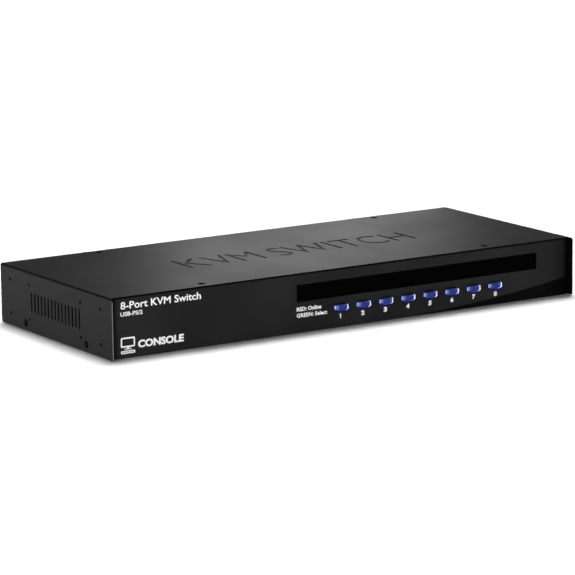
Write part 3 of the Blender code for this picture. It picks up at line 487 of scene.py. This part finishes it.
FINISHES = {
    "case_black": powder_coat(
        "case_black", (0.0165, 0.0165, 0.0168), (0.0195, 0.0195, 0.0198), (0.36, 0.42), 0.45 * MM
    ),
    "panel_black": panel_finish(PANEL_Y + STEP_DEPTH / 2),
    "window_smoke": window_finish(),
    "button_blue": button_finish(),
    "screw_black": moulded("screw_black", (0.0015, 0.0015, 0.0015), 0.5, Specular_IOR_Level=0.05),
    "zinc": plated("zinc", (0.56, 0.57, 0.55), 0.32),
    "socket_metal": plated("socket_metal", (0.66, 0.65, 0.62), 0.26),
    "socket_plastic": moulded("socket_plastic", (0.016, 0.016, 0.017), 0.45),
    "board_green": board_finish(),
    "chip_black": moulded("chip_black", (0.018, 0.018, 0.019), 0.55, 0.15 * MM),
    "light_clear": moulded("light_clear", (0.62, 0.60, 0.55), 0.25, Transmission_Weight=0.4),
    "ribbon_grey": ribbon_finish(),
}
INK = ink_finish("ink_white", (0.98, 0.98, 0.98))
GOLD = plated("contact_gold", (0.82, 0.58, 0.24), 0.28)
PURPLE = moulded("keyboard_purple", (0.16, 0.09, 0.30), 0.45)
GREEN = moulded("mouse_green", (0.09, 0.32, 0.16), 0.45)
BLUE = moulded("video_blue", (0.02, 0.07, 0.33), 0.45)


def dress_frame():
    """Each CAD node that stays gets the finish of its own slot."""
    for node in NODES.values():
        for place in node.material_slots:
            name = place.material.name.split(".")[0]
            if name in FINISHES:
                place.material = FINISHES[name].material


# Meshes


def rounded_outline(width, height, radius, steps=OUTLINE_STEPS, parts=(1, 1)):
    """Points (x, z) of a rounded rectangle; parts split its level and upright sides."""
    radius = max(min(radius, width / 2, height / 2), 0.02 * MM)
    arcs = []
    for side_x, side_z, first in ((1, 1, 0), (-1, 1, 90), (-1, -1, 180), (1, -1, 270)):
        centre = Vector((side_x * (width / 2 - radius), side_z * (height / 2 - radius)))
        angles = [math.radians(first + 90 * step / steps) for step in range(steps + 1)]
        arcs.append([centre + radius * Vector((math.cos(a), math.sin(a))) for a in angles])
    points = []
    for index, arc in enumerate(arcs):
        count = parts[index % 2]
        following = arcs[(index + 1) % 4][0]
        points += arc
        points += [arc[-1].lerp(following, part / count) for part in range(1, count)]
    return points


def circle_outline(radius, count):
    angles = [2 * math.pi * i / count for i in range(count)]
    return [(radius * math.cos(angle), radius * math.sin(angle)) for angle in angles]


def shrunk(points, share):
    return [(x * share, z * share) for x, z in points]


def shifted(points, x, z):
    return [(across + x, up + z) for across, up in points]


def tapered(points, height, taper):
    """The outline narrowed towards its low side, as a D-shaped shell is."""
    return [(x * (1 + (taper - 1) * (0.5 - z / height)), z) for x, z in points]


def loft(rings):
    """A closed body through rings of (outline, y), each outline being a list of (x, z)."""
    shape = bmesh.new()
    rows = [[shape.verts.new((x, y, z)) for x, z in outline] for outline, y in rings]
    for row, following in zip(rows, rows[1:]):
        for i in range(len(row)):
            j = (i + 1) % len(row)
            shape.faces.new((row[i], row[j], following[j], following[i]))
    shape.faces.new(list(reversed(rows[0])))
    shape.faces.new(rows[-1])
    bmesh.ops.recalc_face_normals(shape, faces=shape.faces)
    return shape


def prism(outline, near, far):
    return loft([(outline, near), (outline, far)])


def turned(profile, count=32):
    """A body turned round Y from (radius, y) points, which start and end on the axis."""
    rings = [(circle_outline(max(radius, 0.01 * MM), count), y) for radius, y in profile]
    return loft(rings)


def rod(radius, near, far, count):
    return turned([(0, near), (radius, near), (radius, far), (0, far)], count)


def block(size, centre, bevel=0.0, segments=2):
    shape = bmesh.new()
    bmesh.ops.create_cube(shape, size=1)
    bmesh.ops.scale(shape, vec=size, verts=shape.verts)
    bmesh.ops.translate(shape, vec=centre, verts=shape.verts)
    if bevel:
        bmesh.ops.bevel(
            shape, geom=shape.edges[:], offset=bevel, segments=segments, affect="EDGES", profile=0.5
        )
    return shape


def moved(shape, spot):
    bmesh.ops.translate(shape, vec=spot, verts=shape.verts)
    return shape


def pour(shape, whole):
    """Adds a body to the whole, and frees it."""
    part = bpy.data.meshes.new("part")
    shape.to_mesh(part)
    shape.free()
    whole.from_mesh(part)
    bpy.data.meshes.remove(part)


def merged(*shapes):
    """Several bodies in one bmesh, each keeping its place."""
    whole = bmesh.new()
    for shape in shapes:
        pour(shape, whole)
    return whole


def to_object(name, shape):
    mesh = bpy.data.meshes.new(name)
    shape.to_mesh(mesh)
    shape.free()
    made = bpy.data.objects.new(name, mesh)
    bpy.context.scene.collection.objects.link(made)
    return made


def carved(shape, cutter):
    """The first body with the second cut out of it."""
    body = to_object("body", shape)
    tool = to_object("tool", cutter)
    boolean = body.modifiers.new("cut", "BOOLEAN")
    boolean.object = tool
    boolean.solver = "EXACT"
    boolean.use_self = True
    result = bmesh.new()
    bpy.context.view_layer.update()
    result.from_object(body, bpy.context.evaluated_depsgraph_get())
    for scrap in (body, tool):
        mesh = scrap.data
        bpy.data.objects.remove(scrap)
        bpy.data.meshes.remove(mesh)
    return result


def built_mesh(name, parts):
    """One mesh from (bmesh, finish) pairs, each with its own material."""
    whole = bmesh.new()
    mesh = bpy.data.meshes.new(name)
    for index, (shape, finish) in enumerate(parts):
        for face in shape.faces:
            face.material_index = index
        pour(shape, whole)
        mesh.materials.append(finish.material)
    whole.to_mesh(mesh)
    whole.free()
    mesh.set_sharp_from_angle(angle=math.radians(35))
    for polygon in mesh.polygons:
        polygon.use_smooth = True
    return mesh


def body_of(node):
    return NODES[node]["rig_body"]


def place_mesh(name, mesh, place):
    piece = bpy.data.objects.new(name, mesh)
    bpy.context.scene.collection.objects.link(piece)
    piece.matrix_world = place
    return piece


def add_piece(name, mesh, place, node):
    """A detailed piece that stands for the CAD node and moves with its body."""
    piece = place_mesh(name, mesh, place)
    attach(piece, body_of(node))
    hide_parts(node)


def middle(node):
    low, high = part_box(node)
    return (low + high) / 2


# Buttons


def button_mesh():
    """Flange, stem and a pillow-shaped cap; the origin is in the panel's face."""
    cap = rounded_outline(*BUTTON_SIZE, BUTTON_CORNER, parts=BUTTON_SIDE_PARTS)
    flange = rounded_outline(*FLANGE_SIZE, FLANGE_CORNER, parts=BUTTON_SIDE_PARTS)
    stem = circle_outline(STEM_RADIUS, len(cap))
    rings = [
        (shrunk(stem, 0.8), STEM_END),
        (stem, STEM_END - 0.3 * MM),
        (stem, FLANGE_FAR),
        (flange, FLANGE_FAR),
        (flange, FLANGE_NEAR),
        (cap, FLANGE_NEAR),
    ]
    for step in range(BUTTON_RINGS):
        share = math.cos(math.pi / 2 * step / BUTTON_RINGS)
        rings.append((shrunk(cap, share), 0))
    shape = loft(rings)
    half_width, half_height = BUTTON_SIZE[0] / 2, BUTTON_SIZE[1] / 2
    for vertex in shape.verts:
        if vertex.co.y == 0:
            across = (abs(vertex.co.x) / half_width) ** BUTTON_FULLNESS_ACROSS
            up = (abs(vertex.co.z) / half_height) ** BUTTON_FULLNESS_UP
            height = math.sqrt(max(0, 1 - across - up))
            vertex.co.y = -BUTTON_WALL - (BUTTON_PROUD - BUTTON_WALL) * height
    return built_mesh("button", [(shape, FINISHES["button_blue"])])


def make_buttons():
    mesh = button_mesh()
    for number in range(1, PORTS + 1):
        node = f"button_{number}"
        centre = middle(node)
        place = Matrix.Translation((centre.x, PANEL_Y, centre.z))
        add_piece(f"cap_{number}", mesh, place, node)


# Screws


def cross_recess(face_y, depth):
    """A cross-shaped cutter that narrows as it goes in; the head faces −Y."""
    arms = []
    for size in ((RECESS_LENGTH, RECESS_WIDTH), (RECESS_WIDTH, RECESS_LENGTH)):
        outline = rounded_outline(*size, 0.12 * MM, 2)
        tip = shrunk(outline, 0.55)
        arms.append(loft([(outline, face_y - 0.2 * MM), (outline, face_y), (tip, face_y + depth)]))
    return merged(*arms)


def case_screw_mesh():
    profile = [
        (0, 0),
        (HEAD_RADIUS - 0.12 * MM, 0),
        (HEAD_RADIUS, HEAD_EDGE * 0.6),
        (HEAD_RADIUS, HEAD_EDGE),
        (SHANK_RADIUS, HEAD_EDGE + HEAD_RADIUS - SHANK_RADIUS),
        (SHANK_RADIUS, SCREW_LENGTH - 0.5 * MM),
        (SHANK_RADIUS * 0.6, SCREW_LENGTH),
        (0, SCREW_LENGTH),
    ]
    screw = carved(turned(profile), cross_recess(0, RECESS_DEPTH))
    return built_mesh("case_screw", [(screw, FINISHES["screw_black"])])


def pan_screw_mesh():
    profile = [(0, -PAN_HEIGHT)]
    for step in range(1, PAN_STEPS + 1):
        angle = math.pi / 2 * step / PAN_STEPS
        rise = PAN_EDGE + (1 - PAN_EDGE) * math.cos(angle)
        profile.append((PAN_RADIUS * math.sin(angle), -PAN_HEIGHT * rise))
    profile += [
        (PAN_RADIUS, 0),
        (SHANK_RADIUS, 0),
        (SHANK_RADIUS, SCREW_LENGTH - 0.5 * MM),
        (SHANK_RADIUS * 0.6, SCREW_LENGTH),
        (0, SCREW_LENGTH),
    ]
    screw = carved(turned(profile), cross_recess(-PAN_HEIGHT, RECESS_DEPTH))
    return built_mesh("pan_screw", [(screw, FINISHES["zinc"])])


def add_screw(node, mesh, direction, head_height):
    """The screw's head faces the direction, and its top is level with the node's end there."""
    low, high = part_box(node)
    spot = (low + high) / 2
    for axis, way in enumerate(direction):
        if way:
            spot[axis] = (high if way > 0 else low)[axis] - way * head_height
    turn = Vector((0, -1, 0)).rotation_difference(Vector(direction)).to_matrix().to_4x4()
    name = node.replace("_screw_", "_screw_cross_")
    add_piece(name, mesh, Matrix.Translation(spot) @ turn, node)


def make_screws():
    case_screw = case_screw_mesh()
    for number in range(1, 5):
        add_screw(f"top_screw_{number}", case_screw, (0, 0, 1), 0)
        node = f"side_screw_{number}"
        side = math.copysign(1, middle(node).x)
        add_screw(node, case_screw, (side, 0, 0), 0)
    pan_screw = pan_screw_mesh()
    for number in range(1, 5):
        add_screw(f"board_screw_{number}", pan_screw, (0, 0, 1), PAN_HEIGHT)
    for number in range(1, 3):
        add_screw(f"front_board_screw_{number}", pan_screw, (0, 1, 0), PAN_HEIGHT)


# Rear sockets, which face +Y: the origin of each is in the middle of its rearmost plane


def d_outline(inset, steps=4):
    width, height = SHELL[0] - 2 * inset, SHELL[1] - 2 * inset
    return tapered(rounded_outline(width, height, SHELL_CORNER - inset, steps), height, SHELL_TAPER)


def pin_spots():
    for row in (-1, 0, 1):
        shift = -PIN_PITCH / 4 if row == 0 else PIN_PITCH / 4
        for column in range(-2, 3):
            yield column * PIN_PITCH + shift, row * PIN_ROW


def fifteen_pin_mesh(name, insert_finish):
    plate_y = -SHELL_REACH
    body_middle = (0, plate_y - PLATE_THICKNESS - BODY_DEPTH / 2, 0)
    body = block((PLATE[0], BODY_DEPTH, PLATE[1]), body_middle, 0.5 * MM)
    plate = prism(rounded_outline(*PLATE, PLATE_CORNER, 4), plate_y - PLATE_THICKNESS, plate_y)
    shell = loft(
        [
            (d_outline(-0.9 * MM), plate_y - 0.1 * MM),
            (d_outline(-0.35 * MM), plate_y + 0.25 * MM),
            (d_outline(0), plate_y + 0.9 * MM),
            (d_outline(0), -0.25 * MM),
            (d_outline(0.12 * MM), 0),
            (d_outline(SHELL_WALL), 0),
            (d_outline(SHELL_WALL), plate_y + 0.2 * MM),
        ]
    )
    insert_outline = d_outline(SHELL_WALL + 0.12 * MM)
    insert = loft(
        [
            (insert_outline, plate_y + 0.1 * MM),
            (insert_outline, -0.7 * MM),
            (d_outline(SHELL_WALL + 0.3 * MM), -0.5 * MM),
        ]
    )
    holes = []
    contacts = []
    for x, z in pin_spots():
        holes.append(moved(rod(PIN_HOLE_RADIUS, -0.2 * MM, -3 * MM, 12), (x, 0, z)))
        contacts.append(moved(rod(PIN_CONTACT_RADIUS, -2.2 * MM, -3.2 * MM, 10), (x, 0, z)))
    insert = carved(insert, merged(*holes))
    hexagon = circle_outline(HEX_RADIUS, 6)
    inner = shrunk(hexagon, 0.9)
    post_end = plate_y + HEX_REACH
    bore = [
        (0, post_end + 1 * MM),
        (HEX_BORE_RADIUS, post_end + 1 * MM),
        (HEX_BORE_RADIUS, post_end - 3.5 * MM),
        (0, post_end - 4 * MM),
    ]
    posts = []
    for side in (-1, 1):
        rings = [(hexagon, plate_y - 0.1 * MM), (hexagon, post_end - 0.3 * MM), (inner, post_end)]
        post = carved(loft(rings), turned(bore, 20))
        posts.append(moved(post, (side * HEX_SPACING / 2, 0, 0)))
    return built_mesh(
        name,
        [
            (body, FINISHES["socket_plastic"]),
            (merged(plate, shell), FINISHES["socket_metal"]),
            (insert, insert_finish),
            (merged(*contacts), GOLD),
            (merged(*posts), FINISHES["zinc"]),
        ],
    )


def add_socket(name, mesh, node):
    low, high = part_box(node)
    place = Matrix.Translation(((low.x + high.x) / 2, high.y, (low.z + high.z) / 2))
    add_piece(name, mesh, place, node)


def make_fifteen_pin_sockets():
    black = fifteen_pin_mesh("fifteen_pin_black", FINISHES["socket_plastic"])
    blue = fifteen_pin_mesh("fifteen_pin_blue", BLUE)
    for number in range(1, PORTS + 1):
        add_socket(f"pc_connector_{number}", black, f"pc_socket_{number}")
    add_socket("daisy_chain_connector", black, "daisy_chain_socket")
    add_socket("console_video_connector", blue, "console_video_socket")


def node_size(node):
    low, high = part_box(node)
    return high - low


def make_usb_stack():
    node = "console_usb_stack"
    size = node_size(node)
    housing = block(size, (0, -size.y / 2, 0), 0.5 * MM)
    tongue_y = -USB_MOUTH_DEPTH / 2 - 1 * MM
    tongue_size = (USB_TONGUE[0], USB_MOUTH_DEPTH, USB_TONGUE[1])
    contact_size = (1.1 * MM, USB_MOUTH_DEPTH - 1.2 * MM, 0.2 * MM)
    cutters, tongues, contacts = [], [], []
    for share in USB_SHARES:
        z = size.z * (share - 0.5)
        cutters.append(block((USB_MOUTH[0], 2 * USB_MOUTH_DEPTH, USB_MOUTH[1]), (0, 0, z)))
        tongues.append(block(tongue_size, (0, tongue_y, z), 0.25 * MM))
        for column in (-1.5, -0.5, 0.5, 1.5):
            spot = (column * USB_CONTACT_PITCH, tongue_y, z - USB_TONGUE[1] / 2)
            contacts.append(block(contact_size, spot, 0.06 * MM, 1))
    mesh = built_mesh(
        "usb_stack",
        [
            (carved(housing, merged(*cutters)), FINISHES["socket_metal"]),
            (merged(*tongues), FINISHES["socket_plastic"]),
            (merged(*contacts), GOLD),
        ],
    )
    add_socket("usb_sockets", mesh, node)


def ps2_core():
    """The coloured insert of a round socket, with its key slot and pin holes."""
    profile = [
        (0, -0.3 * MM),
        (PS2_CORE_RADIUS - 0.2 * MM, -0.3 * MM),
        (PS2_CORE_RADIUS, -0.5 * MM),
        (PS2_CORE_RADIUS, -PS2_MOUTH_DEPTH - 0.3 * MM),
        (0, -PS2_MOUTH_DEPTH - 0.3 * MM),
    ]
    holes = [block((1.2 * MM, 4 * MM, 2.2 * MM), (0, 0, -0.4 * MM), 0.1 * MM, 1)]
    for across, up in PS2_PINS:
        spot = (across * PS2_PIN_SPREAD[0], 0, up * PS2_PIN_SPREAD[1])
        holes.append(moved(rod(PS2_PIN_RADIUS, 1 * MM, -2.5 * MM, 12), spot))
    return carved(turned(profile, 40), merged(*holes))


def make_ps2_stack():
    node = "console_ps2_stack"
    size = node_size(node)
    housing = block(size, (0, -size.y / 2, 0), 0.5 * MM)
    outside, inside = PS2_LINING_RADII
    mouths, cores, rings = [], [], []
    for share, finish in zip(PS2_SHARES, (PURPLE, GREEN)):
        spot = (0, 0, size.z * (share - 0.5))
        mouths.append(moved(rod(PS2_MOUTH_RADIUS, 1 * MM, -PS2_MOUTH_DEPTH, 40), spot))
        cores.append((moved(ps2_core(), spot), finish))
        lining = carved(rod(outside, 0, -2.9 * MM, 40), rod(inside, 1 * MM, -5 * MM, 40))
        rings.append(moved(lining, spot))
    parts = [
        (carved(housing, merged(*mouths)), FINISHES["socket_plastic"]),
        (merged(*rings), FINISHES["socket_metal"]),
        *cores,
    ]
    add_socket("ps2_sockets", built_mesh("ps2_stack", parts), node)


def make_dc_inlet():
    node = "dc_inlet"
    size = node_size(node)
    bore = rod(DC_BORE_RADIUS, 1 * MM, -DC_BORE_DEPTH, 40)
    housing = carved(block(size, (0, -size.y / 2, 0), 0.6 * MM), bore)
    pin = turned(
        [
            (0, -1 * MM),
            (DC_PIN_RADIUS * 0.6, -1.1 * MM),
            (DC_PIN_RADIUS, -1.5 * MM),
            (DC_PIN_RADIUS, -DC_BORE_DEPTH - 0.5 * MM),
            (0, -DC_BORE_DEPTH - 0.5 * MM),
        ],
        24,
    )
    parts = [(housing, FINISHES["socket_plastic"]), (pin, FINISHES["socket_metal"])]
    add_socket("dc_socket", built_mesh("dc_socket", parts), node)


# Printing


def text_mesh(words, weight):
    """The words as a thin closed mesh in X and Z, unscaled, with its ink's thickness along Y."""
    curve = bpy.data.curves.new("words", "FONT")
    curve.body = words
    curve.resolution_u = 3
    curve.offset = weight
    curve.extrude = 0.5
    holder = bpy.data.objects.new("words", curve)
    bpy.context.scene.collection.objects.link(holder)
    bpy.context.view_layer.update()
    settled = holder.evaluated_get(bpy.context.evaluated_depsgraph_get())
    mesh = bpy.data.meshes.new_from_object(settled)
    bpy.data.objects.remove(holder)
    bpy.data.curves.remove(curve)
    shape = bmesh.new()
    shape.from_mesh(mesh)
    bpy.data.meshes.remove(mesh)
    bmesh.ops.remove_doubles(shape, verts=shape.verts, dist=1e-5)
    bmesh.ops.transform(shape, matrix=Matrix.Rotation(math.pi / 2, 4, "X"), verts=shape.verts)
    return shape


def fit(shape, left, foot, width, height):
    """Scales a flat shape and moves its low left corner; without a width it isn't stretched."""
    corners = [vertex.co for vertex in shape.verts]
    low_corner = Vector((min(c.x for c in corners), 0, min(c.z for c in corners)))
    high_corner = Vector((max(c.x for c in corners), 0, max(c.z for c in corners)))
    span = high_corner - low_corner
    rise = height / span.z
    run = width / span.x if width else rise
    for vertex in shape.verts:
        flat = vertex.co - low_corner
        depth = INK_SUNK if vertex.co.y > 0 else -INK_PROUD
        vertex.co = (left + flat.x * run, depth, foot + flat.z * rise)


def centred(shape, x):
    xs = [v.co.x for v in shape.verts]
    return moved(shape, (x - (min(xs) + max(xs)) / 2, 0, 0))


def print_on(name, shape, rear=False):
    """Ink on the front panel, or on the rear wall, where it is turned to face backwards."""
    if rear:
        rear_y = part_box("chassis")[1].y
        place = Matrix.Translation((0, rear_y, 0)) @ Matrix.Rotation(math.pi, 4, "Z")
    else:
        place = Matrix.Translation((0, PANEL_Y, 0))
    piece = place_mesh(name, built_mesh(name, [(shape, INK)]), place)
    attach(piece, body_of("front_panel"))


def print_line(name, line):
    shape = text_mesh(line.words, line.weight)
    fit(shape, line.left, line.foot, line.width, line.height)
    print_on(name, shape)


def flat_shape(outline, holes=()):
    """A thin closed plate of ink from an outline of (x, z), with openings."""
    plate = prism(outline, -INK_PROUD, INK_SUNK)
    if holes:
        cutters = [prism(hole, -1 * MM, 1 * MM) for hole in holes]
        plate = carved(plate, merged(*cutters))
    return plate


def make_sign():
    """A screen on its stand over a keyboard."""
    x, z = SIGN_PLACE

    def bar(width, height, corner, steps, up, across=0):
        """A rounded bar, in millimetres from the sign's middle."""
        outline = rounded_outline(width * MM, height * MM, corner * MM, steps)
        return shifted(outline, x + across * MM, z + up * MM)

    screen = bar(width=11.4, height=7.0, corner=1.0, steps=4, up=2.2)
    glass = bar(width=9.2, height=4.8, corner=0.4, steps=4, up=2.2)
    stand = bar(width=2.4, height=1.0, corner=0.2, steps=2, up=-1.8)
    base = bar(width=5.6, height=0.7, corner=0.3, steps=2, up=-2.5)
    keyboard = bar(width=11.4, height=2.2, corner=0.6, steps=4, up=-4.7)
    keys = [
        bar(width=1.3, height=0.6, corner=0.1, steps=1, up=-4.7, across=2.0 * column)
        for column in range(-2, 3)
    ]
    frame_and_stand = (flat_shape(screen, [glass]), flat_shape(stand), flat_shape(base))
    print_on("print_console_sign", merged(*frame_and_stand, flat_shape(keyboard, keys)))


def make_front_printing():
    print_line("print_title", TITLE)
    print_line("print_subtitle", SUBTITLE)
    for number, line in enumerate(LEGEND, 1):
        print_line(f"print_legend_{number}", line)
    digits_middle = (middle("button_1").x + middle(f"button_{PORTS}").x) / 2 + DIGITS_SHIFT
    for number in range(1, PORTS + 1):
        if number == 1:
            # The typeface's own 1 is a plain bar
            digit = flat_shape(ONE_OUTLINE)
            fit(digit, 0, DIGIT_FOOT, ONE_WIDTH, DIGIT_HEIGHT)
        else:
            digit = text_mesh(str(number), DIGIT_WEIGHT)
            fit(digit, 0, DIGIT_FOOT, DIGIT_WIDTH, DIGIT_HEIGHT)
        centred(digit, digits_middle + (number - (PORTS + 1) / 2) * DIGIT_PITCH)
        print_on(f"print_number_{number}", digit)
    make_sign()
    print_line("print_console_word", SIGN_WORD)


def make_rear_printing():
    """Plain labels over the sockets: a number for each computer, and a word for the rest."""
    labels = {f"pc_socket_{number}": str(number) for number in range(1, PORTS + 1)} | REAR_WORDS
    for node, words in labels.items():
        low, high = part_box(node)
        label = text_mesh(words, REAR_WEIGHT)
        height = REAR_NUMBER_HEIGHT if words.isdigit() else REAR_WORD_HEIGHT
        fit(label, 0, high.z + REAR_LABEL_GAP, None, height)
        centred(label, -(low.x + high.x) / 2)
        print_on(f"print_{node}", label, rear=True)


# Stage


def make_camera():
    right = CAMERA_AIM.cross(CAMERA_UP).normalized()
    up = right.cross(CAMERA_AIM).normalized()
    turn = Matrix((right, up, -CAMERA_AIM.normalized())).transposed().to_4x4()
    data = bpy.data.cameras.new("camera")
    data.lens = CAMERA_LENS
    data.sensor_width = CAMERA_SENSOR
    data.clip_end = CAMERA_REACH
    camera = bpy.data.objects.new("camera", data)
    camera.matrix_world = Matrix.Translation(CAMERA_PLACE) @ turn
    bpy.context.scene.collection.objects.link(camera)
    bpy.context.scene.camera = camera


def make_floor(level):
    """A wide pale floor, with a faint grain."""
    shape = bmesh.new()
    bmesh.ops.create_grid(shape, x_segments=FLOOR_PARTS, y_segments=FLOOR_PARTS, size=FLOOR_REACH)
    floor = to_object("floor", moved(shape, (0, 0, level)))
    finish = Finish("floor_white", (0.9, 0.9, 0.9), 0.9, Specular_IOR_Level=0.0)
    grain = finish.noise(0.25, 2)
    finish.tint(finish.between(grain, 0, 1), (0.895, 0.895, 0.895), (0.905, 0.905, 0.905))
    floor.data.materials.append(finish.material)
    floor.visible_glossy = False


def make_world():
    """White to the camera, a soft fill for diffuse rays, and nearly black in reflections."""
    world = bpy.data.worlds.new("studio")
    bpy.context.scene.world = world
    world.use_nodes = True
    tree = world.node_tree
    background = tree.nodes["Background"]
    coordinates = tree.nodes.new("ShaderNodeTexCoord")
    parts = tree.nodes.new("ShaderNodeSeparateXYZ")
    ramp = tree.nodes.new("ShaderNodeMapRange")
    ramp.inputs["To Min"].default_value = WORLD_FRONT
    ramp.inputs["To Max"].default_value = WORLD_BACK
    rays = tree.nodes.new("ShaderNodeLightPath")
    glossy = tree.nodes.new("ShaderNodeMix")
    camera = tree.nodes.new("ShaderNodeMix")
    link = tree.links.new
    link(coordinates.outputs["Generated"], parts.inputs["Vector"])
    link(parts.outputs["Y"], ramp.inputs["Value"])
    link(rays.outputs["Is Glossy Ray"], glossy.inputs[0])
    glossy.inputs[2].default_value = WORLD_FILL
    link(ramp.outputs["Result"], glossy.inputs[3])
    link(rays.outputs["Is Camera Ray"], camera.inputs[0])
    link(glossy.outputs[0], camera.inputs[2])
    camera.inputs[3].default_value = 1.0
    link(camera.outputs[0], background.inputs["Strength"])
    background.inputs["Color"].default_value = (1, 1, 1, 1)


def add_light(name, data, direction):
    light = bpy.data.objects.new(name, data)
    light.rotation_euler = direction.to_track_quat("-Z", "Y").to_euler()
    bpy.context.scene.collection.objects.link(light)
    return light


def make_lights():
    sun = bpy.data.lights.new("key", "SUN")
    sun.angle = math.radians(SUN_SPREAD)
    sun.energy = SUN_STRENGTH
    add_light("key", sun, SUN_AIM).visible_glossy = False
    for box in SOFT_BOXES:
        width, height = box.size
        data = bpy.data.lights.new(box.name, "AREA")
        data.shape = "RECTANGLE"
        data.size, data.size_y = width, height
        data.energy = box.radiance * math.pi * width * height
        light = add_light(box.name, data, Vector(box.aim) - Vector(box.place))
        light.location = box.place
        light.visible_camera = False
        light.visible_diffuse = box.diffuse
        light.visible_glossy = box.glossy


def main():
    bpy.context.scene.view_settings.view_transform = "Standard"
    make_camera()
    dress_frame()
    make_buttons()
    make_screws()
    make_fifteen_pin_sockets()
    make_usb_stack()
    make_ps2_stack()
    make_dc_inlet()
    make_front_printing()
    make_rear_printing()
    make_floor(cad_size[0][2] - FLOOR_GAP)
    make_world()
    make_lights()


main()
